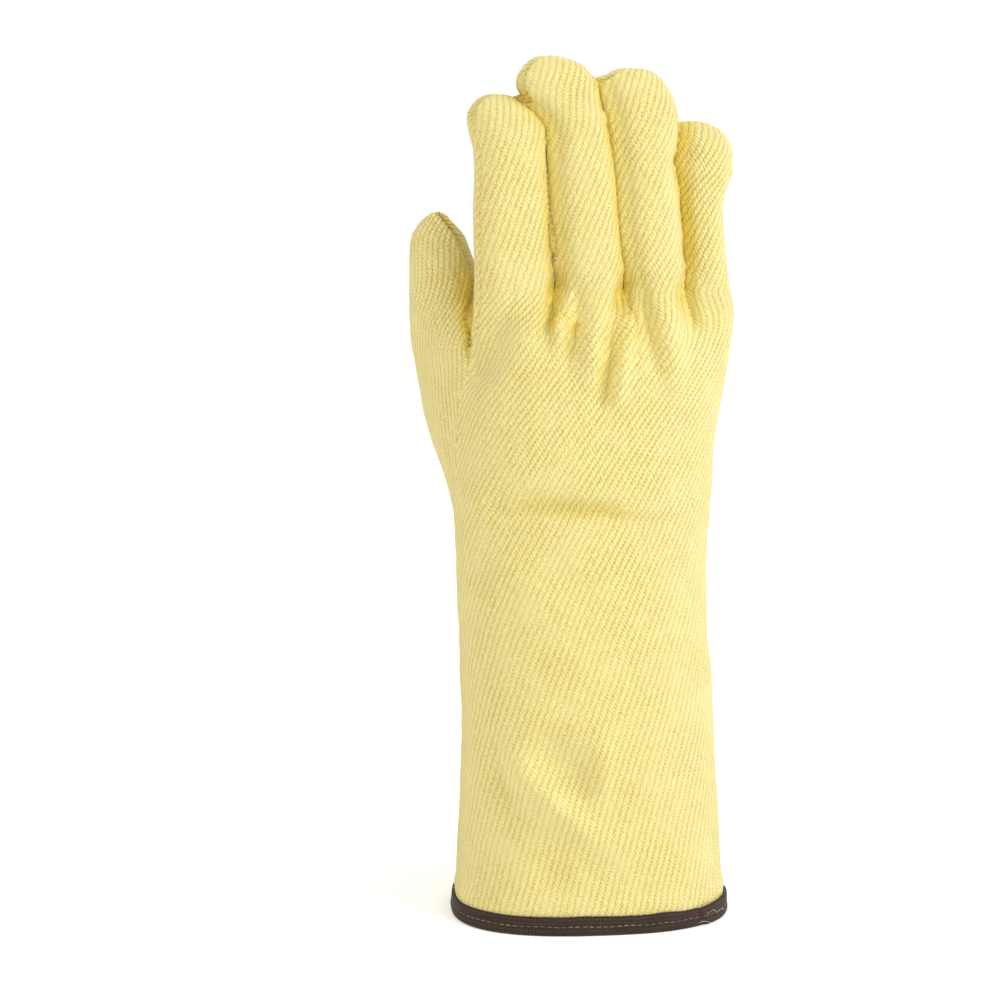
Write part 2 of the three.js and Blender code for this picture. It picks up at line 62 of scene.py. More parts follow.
# Outline of the cuff and hand. height: share of ROOT_HEIGHT; left and right: of GLOVE_WIDTH;
# front (the back of the hand) and rear: of GLOVE_DEPTH; square: the superellipse's exponent.
HAND = table("height left right front rear square", [
    [0.00, 0.501, 0.509, 0.495, 0.495, 2.55],
    [0.09, 0.478, 0.498, 0.488, 0.492, 2.40],
    [0.17, 0.469, 0.487, 0.480, 0.485, 2.28],
    [0.25, 0.465, 0.474, 0.474, 0.474, 2.22],
    [0.34, 0.463, 0.462, 0.465, 0.462, 2.20],
    [0.41, 0.467, 0.449, 0.456, 0.450, 2.18],
    [0.47, 0.473, 0.438, 0.446, 0.434, 2.18],
    [0.53, 0.479, 0.432, 0.437, 0.418, 2.18],
    [0.58, 0.482, 0.432, 0.430, 0.409, 2.18],
    [0.64, 0.484, 0.437, 0.421, 0.405, 2.20],
    [0.70, 0.482, 0.447, 0.410, 0.400, 2.22],
    [0.765, 0.475, 0.456, 0.395, 0.388, 2.26],
    [0.83, 0.464, 0.475, 0.372, 0.370, 2.32],
    [0.88, 0.451, 0.496, 0.350, 0.345, 2.38],
    [0.93, 0.437, 0.512, 0.320, 0.310, 2.44],
    [0.965, 0.428, 0.519, 0.295, 0.280, 2.48],
    [1.00, 0.420, 0.513, 0.270, 0.250, 2.50],
])

# Seams and finger lines round the hand, in degrees from the middle of its back.
LINES = table("height thumb_side little_side little_gap ring_gap middle_gap valley thumb_edge", [
    [0.00, -93, 93, 116, 140, 162, 182, 206],
    [0.50, -93, 93, 116, 140, 162, 182, 206],
    [0.60, -90, 93, 117, 141, 163, 183, 209],
    [0.70, -86, 93, 118, 143, 164, 187, 216],
    [0.765, -85, 93, 119, 146, 168, 193, 226],
    [0.83, -84, 92, 122, 152, 176, 204, 236],
    [0.88, -83, 92, 127, 158, 184, 215, 244],
    [0.908, -82, 92, 131, 162, 189, 222, 248],
    [0.96, -81, 91, 137, 168, 195, 230, 255],
    [1.00, -80, 90, 141, 171, 199, 235, 258],
])
BACK_GAPS = [-19.5, 9.5, 39.5]

# Ovals of the fingers. height: share of FINGER_LENGTH above the roots; x and half_width:
# of GLOVE_WIDTH; y and half_depth: of GLOVE_DEPTH.
FINGERS = [
    table("height x y half_width half_depth", [
        [-0.10, -0.262, -0.030, 0.160, 0.215],
        [0.00, -0.268, -0.022, 0.152, 0.200],
        [0.06, -0.276, -0.018, 0.141, 0.192],
        [0.18, -0.282, -0.012, 0.137, 0.187],
        [0.34, -0.287, -0.010, 0.134, 0.183],
        [0.49, -0.290, -0.010, 0.127, 0.180],
        [0.60, -0.294, -0.012, 0.126, 0.180],
        [0.69, -0.303, -0.012, 0.135, 0.178],
        [0.755, -0.318, -0.010, 0.124, 0.158],
        [0.80, -0.328, -0.008, 0.092, 0.120],
        [0.825, -0.336, -0.006, 0.053, 0.070],
        [0.837, -0.340, -0.006, 0, 0],
    ]),
    table("height x y half_width half_depth", [
        [-0.10, 0.010, -0.026, 0.120, 0.210],
        [0.00, 0.007, -0.018, 0.113, 0.195],
        [0.14, -0.003, -0.012, 0.116, 0.190],
        [0.30, -0.017, -0.008, 0.115, 0.187],
        [0.45, -0.025, -0.004, 0.115, 0.184],
        [0.60, -0.037, 0.000, 0.110, 0.182],
        [0.685, -0.045, 0.004, 0.105, 0.182],
        [0.747, -0.063, 0.008, 0.114, 0.182],
        [0.80, -0.094, 0.012, 0.133, 0.180],
        [0.866, -0.121, 0.014, 0.143, 0.170],
        [0.914, -0.130, 0.014, 0.133, 0.148],
        [0.958, -0.138, 0.014, 0.102, 0.108],
        [0.985, -0.150, 0.014, 0.060, 0.064],
        [1.00, -0.158, 0.014, 0, 0],
    ]),
    table("height x y half_width half_depth", [
        [-0.10, 0.232, -0.005, 0.112, 0.200],
        [0.00, 0.230, 0.000, 0.107, 0.188],
        [0.14, 0.226, 0.004, 0.104, 0.184],
        [0.27, 0.217, 0.006, 0.106, 0.182],
        [0.38, 0.208, 0.008, 0.105, 0.180],
        [0.46, 0.201, 0.010, 0.102, 0.176],
        [0.545, 0.191, 0.012, 0.100, 0.172],
        [0.62, 0.193, 0.014, 0.110, 0.178],
        [0.70, 0.190, 0.014, 0.123, 0.182],
        [0.755, 0.184, 0.014, 0.125, 0.180],
        [0.825, 0.168, 0.014, 0.123, 0.168],
        [0.863, 0.157, 0.014, 0.116, 0.150],
        [0.898, 0.150, 0.014, 0.102, 0.124],
        [0.929, 0.142, 0.014, 0.072, 0.086],
        [0.948, 0.137, 0.014, 0, 0],
    ]),
    table("height x y half_width half_depth", [
        [-0.10, 0.430, 0.060, 0.092, 0.175],
        [0.00, 0.424, 0.075, 0.088, 0.165],
        [0.14, 0.416, 0.094, 0.084, 0.160],
        [0.26, 0.406, 0.098, 0.084, 0.158],
        [0.36, 0.400, 0.096, 0.086, 0.156],
        [0.417, 0.401, 0.094, 0.091, 0.158],
        [0.464, 0.405, 0.090, 0.101, 0.160],
        [0.51, 0.412, 0.090, 0.108, 0.160],
        [0.583, 0.413, 0.090, 0.108, 0.154],
        [0.63, 0.410, 0.090, 0.098, 0.140],
        [0.662, 0.406, 0.090, 0.086, 0.118],
        [0.70, 0.387, 0.090, 0.058, 0.078],
        [0.723, 0.374, 0.090, 0, 0],
    ]),
]

# Ovals of the thumb. height: share of ROOT_HEIGHT; inner_seam: degrees from the oval's front.
THUMB = table("height x y half_width half_depth inner_seam", [
    [0.60, -0.330, 0.120, 0.190, 0.260, 340],
    [0.70, -0.388, 0.190, 0.186, 0.237, 340],
    [0.765, -0.410, 0.256, 0.190, 0.224, 342],
    [0.83, -0.430, 0.308, 0.180, 0.212, 345],
    [0.86, -0.447, 0.333, 0.170, 0.210, 345],
    [0.908, -0.468, 0.362, 0.163, 0.206, 345],
    [0.945, -0.483, 0.376, 0.154, 0.202, 364],
    [0.985, -0.494, 0.385, 0.144, 0.196, 392],
    [1.015, -0.505, 0.388, 0.132, 0.186, 407],
    [1.05, -0.521, 0.390, 0.115, 0.168, 410],
    [1.08, -0.529, 0.390, 0.097, 0.142, 403],
    [1.10, -0.532, 0.390, 0.062, 0.098, 397],
    [1.112, -0.532, 0.390, 0.030, 0.050, 394],
    [1.118, -0.532, 0.390, 0, 0, 393],
])

# Folds. Rows with one number are one run, a valley where the depth is above nothing and a ridge
# below. across and breadth: shares of GLOVE_WIDTH; height: of ROOT_HEIGHT; depth: of GLOVE_DEPTH.
BACK_FOLDS = table("run across height depth breadth", [
    [0, -0.144, 1.032, 0.000, 0.018],
    [0, -0.141, 0.997, 0.041, 0.021],
    [0, -0.164, 0.944, 0.031, 0.023],
    [0, -0.190, 0.905, 0.000, 0.025],
    [1, -0.066, 1.030, 0.000, 0.018],
    [1, -0.056, 0.979, 0.032, 0.021],
    [1, -0.080, 0.926, 0.032, 0.023],
    [1, -0.122, 0.870, 0.000, 0.026],
    [2, -0.091, 1.020, 0.000, 0.018],
    [2, -0.114, 0.962, -0.048, 0.021],
    [2, -0.151, 0.905, 0.000, 0.025],
    [3, 0.029, 1.007, 0.000, 0.033],
    [3, -0.012, 0.938, -0.055, 0.035],
    [3, -0.037, 0.821, 0.000, 0.040],
    [4, 0.110, 1.040, 0.000, 0.022],
    [4, 0.100, 0.996, 0.047, 0.025],
    [4, 0.055, 0.938, 0.032, 0.027],
    [4, 0.024, 0.850, 0.032, 0.029],
    [4, 0.009, 0.805, 0.000, 0.034],
    [5, 0.139, 0.995, 0.000, 0.023],
    [5, 0.115, 0.940, -0.046, 0.026],
    [5, 0.081, 0.880, -0.046, 0.029],
    [5, 0.059, 0.810, 0.000, 0.031],
    [6, 0.145, 1.040, 0.000, 0.019],
    [6, 0.168, 1.019, 0.031, 0.022],
    [6, 0.197, 0.937, 0.027, 0.028],
    [6, 0.244, 0.822, 0.000, 0.037],
    [7, 0.207, 1.019, 0.000, 0.031],
    [7, 0.261, 0.937, -0.046, 0.037],
    [7, 0.297, 0.800, 0.000, 0.044],
    [8, 0.300, 1.030, 0.000, 0.022],
    [8, 0.325, 0.995, 0.039, 0.025],
    [8, 0.345, 0.965, 0.029, 0.027],
    [8, 0.358, 0.925, 0.000, 0.031],
    [9, -0.285, 0.990, 0.000, 0.045],
    [9, -0.345, 0.940, 0.060, 0.055],
    [9, -0.405, 0.885, 0.050, 0.050],
    [9, -0.430, 0.840, 0.000, 0.050],
    [10, -0.420, 0.660, 0.000, 0.036],
    [10, -0.340, 0.672, 0.036, 0.038],
    [10, -0.240, 0.678, 0.052, 0.038],
    [10, -0.130, 0.678, 0.056, 0.038],
    [10, 0.000, 0.670, 0.050, 0.036],
    [10, 0.147, 0.655, 0.036, 0.034],
    [10, 0.330, 0.647, 0.000, 0.034],
    [11, -0.300, 0.600, 0.000, 0.060],
    [11, -0.138, 0.570, 0.022, 0.070],
    [11, 0.030, 0.536, 0.000, 0.060],
    [12, -0.270, 0.335, 0.000, 0.060],
    [12, -0.160, 0.300, 0.034, 0.075],
    [12, -0.060, 0.245, 0.030, 0.065],
    [12, -0.050, 0.200, 0.000, 0.050],
    [13, 0.000, 0.345, 0.000, 0.040],
    [13, 0.018, 0.282, -0.036, 0.040],
    [13, 0.014, 0.243, -0.031, 0.038],
    [13, -0.030, 0.200, 0.000, 0.040],
    [14, -0.340, 0.310, 0.000, 0.050],
    [14, -0.250, 0.250, -0.048, 0.050],
    [14, -0.100, 0.185, -0.041, 0.046],
    [14, 0.006, 0.148, -0.024, 0.050],
    [14, 0.170, 0.115, 0.000, 0.060],
    [15, -0.380, 0.340, 0.000, 0.030],
    [15, -0.340, 0.242, 0.034, 0.030],
    [15, -0.282, 0.140, 0.000, 0.040],
    [16, -0.260, 0.100, 0.000, 0.080],
    [16, -0.170, 0.090, 0.020, 0.090],
    [16, -0.070, 0.090, 0.000, 0.080],
    [17, -0.455, 0.925, 0.000, 0.026],
    [17, -0.530, 0.900, -0.022, 0.030],
    [17, -0.620, 0.865, 0.000, 0.034],
])
PALM_FOLDS = table("run across height depth breadth", [
    [0, -0.170, 0.975, 0.000, 0.030],
    [0, -0.160, 0.946, 0.075, 0.038],
    [0, -0.118, 0.878, 0.082, 0.040],
    [0, -0.075, 0.760, 0.064, 0.038],
    [0, -0.060, 0.690, 0.000, 0.036],
    [1, 0.060, 0.890, 0.000, 0.060],
    [1, 0.010, 0.800, 0.036, 0.066],
    [1, -0.045, 0.680, 0.000, 0.060],
    [2, -0.060, 0.870, 0.000, 0.034],
    [2, -0.042, 0.810, -0.034, 0.036],
    [2, -0.030, 0.730, 0.000, 0.034],
    [3, -0.150, 0.622, 0.000, 0.030],
    [3, 0.100, 0.618, 0.012, 0.030],
    [3, 0.320, 0.613, 0.000, 0.030],
])
# Creases under the pads of the ring and little fingertips.
CREASES = {
    2: dict(height=0.700, slope=0.10, breadth=0.026, depth=0.008),
    3: dict(height=0.560, slope=-0.06, breadth=0.026, depth=0.009),
}

# Columns round the glove are counted as in a pattern: 8 to each finger's back, 4 to each
# finger's front, then the thumb from the valley beside the palm to the side seam.
BACK_END = 32
PALM_END = 48
THUMB_END = 60
STOPS = [0, 8, 16, 24, 32, 36, 40, 44, 48, 54, 60]
FRONT_CORNER = 70
REAR_CORNER = 110
INDEX_SEAM = -60
SIDE_SEAM_TURN = [0, 32, 28, 0]
# How far each finger's grain is drawn aside for each mm up, and the turn of the thumb front's grain.
FINGER_DRAWN = [0.14, 0.04, -0.02, -0.06]
THUMB_GRAIN = -62
FINGER_SQUARE = 2.7
INDEX_VALLEY = 232
THUMB_VALLEY = 98
THUMB_EDGE = 233
TOUCH_GAP = -0.2
FAR = 99.0

# Relief along the seams, in mm.
GROOVE = dict(depth=0.95, breadth=1.1)
WELT = dict(rise=0.45, away=2.6, breadth=1.6)

BACK, PALM, FRONTS, THUMB_BACK, CUFF = range(5)


def ease(t):
    t = np.clip(t, 0, 1)
    return t * t * (3 - 2 * t)


def smooth_curve(heights, values, at):
    """A smooth curve through the rows of a table, read at any heights."""
    last = len(heights) - 1
    k = np.arange(last + 1)
    before, after = np.maximum(k - 1, 0), np.minimum(k + 1, last)
    slopes = (values[after] - values[before]) / (heights[after] - heights[before])
    at = np.clip(at, heights[0], heights[-1])
    i = np.clip(np.searchsorted(heights, at, side="right") - 1, 0, last - 1)
    step = heights[i + 1] - heights[i]
    t = (at - heights[i]) / step
    p, q, m, n = values[i], values[i + 1], slopes[i] * step, slopes[i + 1] * step
    return p + t * (m + t * (3 * (q - p) - 2 * m - n + t * (2 * (p - q) + m + n)))


def read(rows, name, height):
    """A column of a table at a height. Half sizes are read as squares, so tips come out round."""
    if name.startswith("half"):
        return np.sqrt(np.maximum(smooth_curve(rows["height"], rows[name] ** 2, height), 0))
    return smooth_curve(rows["height"], rows[name], height)


def power(value, exponent):
    return np.sign(value) * np.abs(value) ** exponent


def place(x, y, z):
    return np.stack(np.broadcast_arrays(x, y, z), axis=-1).astype(float)


def mix(a, b, share):
    return a + (b - a) * np.asarray(share)[..., None]


def hand_point(degrees, z):
    height = z / ROOT_HEIGHT
    left = -read(HAND, "left", height) * GLOVE_WIDTH
    right = read(HAND, "right", height) * GLOVE_WIDTH
    bend = 2 / read(HAND, "square", height)
    s, c = np.sin(np.radians(degrees)), np.cos(np.radians(degrees))
    depth = np.where(c > 0, read(HAND, "front", height), read(HAND, "rear", height)) * GLOVE_DEPTH
    return place((left + right) / 2 + (right - left) / 2 * power(s, bend), -depth * power(c, bend), z)


def oval_point(rows, height, degrees, z, square=2.0):
    across = power(np.sin(np.radians(degrees)), 2 / square)
    front = power(np.cos(np.radians(degrees)), 2 / square)
    x = GLOVE_WIDTH * (read(rows, "x", height) + read(rows, "half_width", height) * across)
    y = GLOVE_DEPTH * (read(rows, "y", height) - read(rows, "half_depth", height) * front)
    return place(x, y, z)


def far_side(f, y, z):
    """Where the little finger's side of finger f lies, at a depth y."""
    height = (z - ROOT_HEIGHT) / FINGER_LENGTH
    middle = read(FINGERS[f], "y", height) * GLOVE_DEPTH
    half = read(FINGERS[f], "half_depth", height) * GLOVE_DEPTH
    off = np.clip(np.abs(y - middle) / np.maximum(half, 0.1), 0, 1)
    reach = read(FINGERS[f], "half_width", height) * (1 - off ** FINGER_SQUARE) ** (1 / FINGER_SQUARE)
    return GLOVE_WIDTH * (read(FINGERS[f], "x", height) + reach)


def side_turn(f, degrees, z):
    """How far the middle and ring fingers turn the seam of their thumb side into view."""
    away = ((degrees + 270) % 360 - 180) / 60
    return SIDE_SEAM_TURN[f] * ease((z - ROOT_HEIGHT - 3) / 16) * np.exp(-away * away)


def finger_point(f, degrees, z):
    degrees = degrees + side_turn(f, degrees, z)
    point = oval_point(FINGERS[f], (z - ROOT_HEIGHT) / FINGER_LENGTH, degrees, z, FINGER_SQUARE)
    if f == 0:
        return point
    gap = np.maximum(point[..., 0] - far_side(f - 1, point[..., 1], z) - TOUCH_GAP, 0)
    share = ease((-np.sin(np.radians(degrees)) - 0.5) / 0.35)
    point[..., 0] -= gap * share * ease((8 - gap) / 4)
    return point


def thumb_point(degrees, z):
    return oval_point(THUMB, z / ROOT_HEIGHT, degrees, z)


def finger_share(z):
    """How far the hand has turned into fingers."""
    return ease((z / ROOT_HEIGHT - 0.85) / 0.18) ** 1.6


def parted(z):
    return ease((z - ROOT_HEIGHT) / (0.1 * FINGER_LENGTH))


def thumb_share(z):
    rise = np.clip((z / ROOT_HEIGHT - WRIST_SEAM) / (THUMB_CROTCH - WRIST_SEAM), 0, 1)
    return 1 - (1 - rise) ** 2.2


def thumb_parted(z):
    return ease((z / ROOT_HEIGHT - THUMB_CROTCH) / 0.075)


def inner_seam(z):
    return read(THUMB, "inner_seam", z / ROOT_HEIGHT)


def shared(f, degrees, z):
    """The point that fingers f and f + 1 share at their crotch."""
    return mix(finger_point(f, degrees, z), finger_point(f + 1, -degrees, z), 0.5)


def finger_arc(f, start, end, t, z):
    point = finger_point(f, start + (end - start) * t, z)
    hold = 1 - parted(z)
    for corner, away in ((start, t), (end, 1 - t)):
        turn = corner - 360 if corner > 180 else corner
        if abs(turn) not in (FRONT_CORNER, REAR_CORNER):
            continue
        target = shared(f, turn, z) if turn > 0 else shared(f - 1, -turn, z)
        point = point + (target - finger_point(f, corner, z)) * (hold * (1 - ease(away / 0.35)))[..., None]
    return point


def line_angle(u, z):
    """Where column u runs round the hand at z, in degrees from the middle of the back."""
    height = z / ROOT_HEIGHT
    names = "little_side little_gap ring_gap middle_gap valley thumb_edge".split()
    stops = [read(LINES, "thumb_side", height), *BACK_GAPS, *(read(LINES, n, height) for n in names),
             read(LINES, "thumb_side", height) + 360]
    angle = stops[0]
    for (u0, a0), (u1, a1) in zip(zip(STOPS, stops), zip(STOPS[1:], stops[1:])):
        angle = np.where(u >= u0, a0 + (a1 - a0) * (u - u0) / (u1 - u0), angle)
    return angle


def back_point(f, u, z):
    start, end = INDEX_SEAM if f == 0 else -FRONT_CORNER, 90 if f == 3 else FRONT_CORNER
    return mix(hand_point(line_angle(u, z), z), finger_arc(f, start, end, u / 8 - f, z), finger_share(z))


def palm_point(f, u, z):
    start, end = 90 if f == 3 else REAR_CORNER, INDEX_VALLEY if f == 0 else 360 - REAR_CORNER
    arc = finger_arc(f, start, end, (u - BACK_END) / 4 - (3 - f), z)
    return mix(hand_point(line_angle(u, z), z), arc, finger_share(z))


def web_point(t, z):
    """The index finger's side above the thumb's crotch, from the valley to the side seam."""
    start, end = line_angle(PALM_END, z), line_angle(THUMB_END, z)
    finger = finger_point(0, INDEX_VALLEY + (360 + INDEX_SEAM - INDEX_VALLEY) * t, z)
    return mix(hand_point(start + (end - start) * t, z), finger, finger_share(z))


def thumb_arc(t, z):
    """The thumb from the valley round its outer edge to the side seam."""
    side = inner_seam(z)
    angle = np.where(t < 0.5, THUMB_VALLEY + (THUMB_EDGE - THUMB_VALLEY) * 2 * t,
                     THUMB_EDGE + (side - THUMB_EDGE) * (2 * t - 1))
    point = thumb_point(angle, z)
    hold = 1 - thumb_parted(z)
    at_palm = (THUMB_VALLEY, t, palm_point(0, PALM_END, z))
    at_seam = (side, 1 - t, back_point(0, 0, z))
    for corner, away, target in (at_palm, at_seam):
        point = point + (target - thumb_point(corner, z)) * (hold * (1 - ease(away / 0.34)))[..., None]
    return point


def lobe_point(t, z):
    u = PALM_END + t * (THUMB_END - PALM_END)
    return mix(hand_point(line_angle(u, z), z), thumb_arc(t, z), thumb_share(z))


def thumb_inside(t, z):
    side = inner_seam(z) - 360
    return mix(thumb_point(side + (THUMB_VALLEY - side) * t, z), web_point(1 - t, z), 1 - thumb_parted(z))


def gap_point(f, degrees, z):
    """The side of finger f that faces its neighbour, from the front corner to the rear one."""
    g = f if degrees[0] > 0 else f - 1
    target = shared(g, np.abs(degrees), z)
    front = hand_point(line_angle(8.0 * (g + 1), z), z)
    rear = hand_point(line_angle(BACK_END + 4.0 * (3 - g), z), z)
    chord = mix(front, rear, (np.abs(degrees) - FRONT_CORNER) / (REAR_CORNER - FRONT_CORNER) + 0 * z)
    own = mix(finger_point(f, degrees, z), target, 1 - parted(z))
    return mix(chord, own, finger_share(z))


def fold_depth(folds, points):
    """How far a set of folds presses each point in, in mm."""
    x, z = points[:, 0], points[:, 2]
    total = np.zeros(len(points))
    for run in np.unique(folds["run"]):
        rows = folds["run"] == run
        ax, az = folds["across"][rows] * GLOVE_WIDTH, folds["height"][rows] * ROOT_HEIGHT
        depth, breadth = folds["depth"][rows] * GLOVE_DEPTH, folds["breadth"][rows] * GLOVE_WIDTH
        nearest, press, weight = np.full(len(points), FAR), 0.0, 1e-9
        for i in range(len(ax) - 1):
            dx, dz = ax[i + 1] - ax[i], az[i + 1] - az[i]
            along = np.clip(((x - ax[i]) * dx + (z - az[i]) * dz) / (dx * dx + dz * dz), 0, 1)
            away = np.hypot(x - ax[i] - dx * along, z - az[i] - dz * along)
            away = away / (breadth[i] + (breadth[i + 1] - breadth[i]) * along)
            near = np.exp(-5 * away * away)
            press = press + near * (depth[i] + (depth[i + 1] - depth[i]) * ease(along))
            weight = weight + near
            nearest = np.minimum(nearest, away)
        total += press / weight * np.exp(-nearest * nearest)
    return total


def fold(points, normals):
    """Presses the folds into the back and the palm."""
    facing = -normals[:, 1]
    depth = np.where(facing > 0, fold_depth(BACK_FOLDS, points), fold_depth(PALM_FOLDS, points))
    return points - normals * (depth * ease(2.5 * np.abs(facing)))[:, None]


def crease(f, points):
    """Presses in the crease under a fingertip's pad, all round the finger."""
    if f not in CREASES:
        return points
    row = CREASES[f]
    middle = np.array([read(FINGERS[f], "x", row["height"]) * GLOVE_WIDTH,
                       read(FINGERS[f], "y", row["height"]) * GLOVE_DEPTH])
    off = points[..., :2] - middle
    height = ROOT_HEIGHT + row["height"] * FINGER_LENGTH + row["slope"] * off[..., 0]
    away = (points[..., 2] - height) / (row["breadth"] * GLOVE_WIDTH)
    reach = np.maximum(np.hypot(off[..., 0], off[..., 1]), 1)
    pull = row["depth"] * GLOVE_DEPTH * np.exp(-away * away) / reach
    points[..., :2] -= off * pull[..., None]
    return points


class Skin:
    """The glove's outside: points, triangles, each triangle's panel and its place on the cloth."""

    def __init__(self):
        self.points, self.count = [], 0
        self.loops, self.cloth, self.panel = [], [], []
        self.crotches, self.side_seam = [], []

    def add(self, points):
        start = self.count
        self.points.append(points.reshape(-1, 3))
        self.count += self.points[-1].shape[0]
        return np.arange(start, self.count).reshape(points.shape[:-1])

    def at(self, index):
        return np.concatenate(self.points)[index]

    def patch(self, index, cloth, panel):
        """Fills a grid of points with triangles. panel is one number, or one for each square."""
        panel = np.broadcast_to(panel, (index.shape[0] - 1, index.shape[1] - 1))
        corners = [(slice(0, -1), slice(0, -1)), (slice(0, -1), slice(1, None)),
                   (slice(1, None), slice(1, None)), (slice(1, None), slice(0, -1))]
        loop = np.stack([index[c] for c in corners], axis=-1).reshape(-1, 4)
        where = np.stack([cloth[c] for c in corners], axis=-2).reshape(-1, 4, 2)
        for order in ([0, 1, 2], [0, 2, 3]):
            keep = loop[:, order[1]] != loop[:, order[2]]
            self.loops.append(loop[keep][:, order])
            self.cloth.append(where[keep][:, order])
            self.panel.append(panel.reshape(-1)[keep])

    def close(self):
        self.points = np.concatenate(self.points)
        self.loops, self.cloth = np.concatenate(self.loops), np.concatenate(self.cloth)
        self.panel = np.concatenate(self.panel)


def steps(start, end, count, fine=""):
    """Places from start to end, closer together at the ends that are named."""
    t = np.linspace(0, 1, count + 1)
    if fine == "start":
        t = t ** 1.5
    if fine == "end":
        t = 1 - (1 - t) ** 1.5
    if fine == "both":
        t = 0.35 * t + 0.65 * ease(t)
    return start + (end - start) * t


def index_of(places, value):
    """Which of the places lies nearest to a value."""
    return int(np.argmin(abs(places - value)))


def join(*parts):
    """Joins runs of places that share their ends."""
    return np.concatenate([parts[0], *(p[1:] for p in parts[1:])])


def cloth_places(points, middle, u0=0.0, v=None):
    """Where each point of a grid lies on the flat cloth: mm along its row from the middle
    column, and mm up the middle column."""
    gaps = np.linalg.norm(np.diff(points, axis=1), axis=2)
    u = np.concatenate([np.zeros((len(points), 1)), np.cumsum(gaps, axis=1)], axis=1)
    u = u - u[:, [middle]] + u0
    if v is None:
        rise = np.linalg.norm(np.diff(points[:, middle], axis=0), axis=1)
        v = points[0, middle, 2] + np.concatenate([[0], np.cumsum(rise)])
    return np.stack([u, np.broadcast_to(v[:, None], u.shape)], axis=-1)


def drawn_aside(v):
    """The cuff's cloth is drawn aside, which makes its ribs steeper towards the hem."""
    v = np.clip(v, 0, 200)
    return 0.28 * v * (1 - v / 400)


def turn_cloth(cloth, degrees):
    """Lays the cloth's grain at another angle."""
    s, c = math.sin(math.radians(degrees)), math.cos(math.radians(degrees))
    return cloth @ np.array([[c, s], [-s, c]])


COLUMNS = {
    "back": [steps(0, 8, 28, "start"), steps(8, 16, 24), steps(16, 24, 24), steps(24, 32, 28, "end")],
    "palm": [steps(32, 36, 20, "start"), steps(36, 40, 18), steps(40, 44, 18), steps(44, 48, 18)],
    "thumb": join(steps(0, 0.5, 22, "end"), steps(0.5, 1, 24, "both")),
    "web": steps(0, 1, 12, "end"),
    "gap": np.linspace(FRONT_CORNER, REAR_CORNER, 9),
}
HEM = TAPE_THICKNESS + 2 * TAPE_GAP
ROWS = join(steps(HEM, WRIST_SEAM * ROOT_HEIGHT, 100, "end"),
            steps(WRIST_SEAM * ROOT_HEIGHT, THUMB_CROTCH * ROOT_HEIGHT, 56, "start"),
            steps(THUMB_CROTCH * ROOT_HEIGHT, FRONTS_SEAM * ROOT_HEIGHT, 16, "end"),
            steps(FRONTS_SEAM * ROOT_HEIGHT, ROOT_HEIGHT, 6))


def build_skin():
    skin = Skin()
    z = ROWS[:, None]
    wrist, crotch, fronts = (index_of(ROWS, s * ROOT_HEIGHT) for s in (WRIST_SEAM, THUMB_CROTCH, FRONTS_SEAM))
    back_u, palm_u = join(*COLUMNS["back"]), join(*COLUMNS["palm"])
    u = join(back_u, palm_u)
    hand = np.zeros((len(ROWS), len(u), 3))
    for f in range(4):
        own = (u >= 8 * f) & (u <= 8 * f + 8)
        hand[:, own] = back_point(f, u[None, own], z)
        own = (u >= 44 - 4 * f) & (u <= 48 - 4 * f) & (u > BACK_END)
        hand[:, own] = palm_point(f, u[None, own], z)
    grid = skin.add(hand)
    nb = len(back_u)

    t = COLUMNS["thumb"]
    low = ROWS[:crotch + 1, None]
    lobe_points = lobe_point(t[None], low)
    lobe = np.column_stack([grid[:crotch + 1, -1], skin.add(lobe_points[:, 1:-1]), grid[:crotch + 1, 0]])
    w = COLUMNS["web"]
    web_inside = skin.add(web_point(w[None, 1:-1], ROWS[crotch:, None]))
    web = np.column_stack([grid[crotch:, -1], web_inside, grid[crotch:, 0]])

    back_cloth = cloth_places(hand[:, :nb], index_of(back_u, 16), v=ROWS)
    back_cloth[..., 0] += drawn_aside(back_cloth[..., 1])
    skin.patch(grid[:, :nb], back_cloth, BACK)

    cuff = np.concatenate([grid[:wrist + 1, nb - 1:], lobe[:wrist + 1, 1:]], axis=1)
    cuff_cloth = cloth_places(skin.at(cuff), len(palm_u), u0=37, v=ROWS[:wrist + 1])
    skin.patch(cuff, cuff_cloth, CUFF)

    middle = index_of(palm_u, 40)
    palm = grid[wrist:, nb - 1:]
    palm_cloth = cloth_places(skin.at(palm), middle, v=ROWS[wrist:])
    rows, cols = np.meshgrid(np.arange(len(palm) - 1) + wrist, palm_u[:-1], indexing="ij")
    is_front = (rows >= fronts) & (cols >= 36) & (cols < 44)
    skin.patch(palm, palm_cloth, np.where(is_front, FRONTS, PALM))
    web_cloth = cloth_places(skin.at(web), 0, v=ROWS[crotch:])
    web_cloth[..., 0] += palm_cloth[crotch - wrist:, -1:, 0]
    skin.patch(web, web_cloth, PALM)

    edge = index_of(t, 0.5)
    quarter = index_of(t, 0.75)
    front = lobe[wrist:, :edge + 1]
    front_cloth = cloth_places(skin.at(front), 0, v=ROWS[wrist:crotch + 1])
    skin.patch(front, turn_cloth(front_cloth, THUMB_GRAIN), PALM)
    back = lobe[wrist:, edge:]
    skin.patch(back, cloth_places(skin.at(back), quarter - edge, v=ROWS[wrist:crotch + 1]), THUMB_BACK)

    add_thumb(skin, lobe[-1], web[0], t, w, edge, quarter)
    for f in range(4):
        add_finger(skin, f, grid[-1], web[-1], back_u, palm_u, back_cloth, palm_cloth)
    skin.crotches = np.concatenate([*skin.crotches, web[0]])
    skin.side_seam = grid[:crotch + 1, 0]
    skin.close()
    return skin


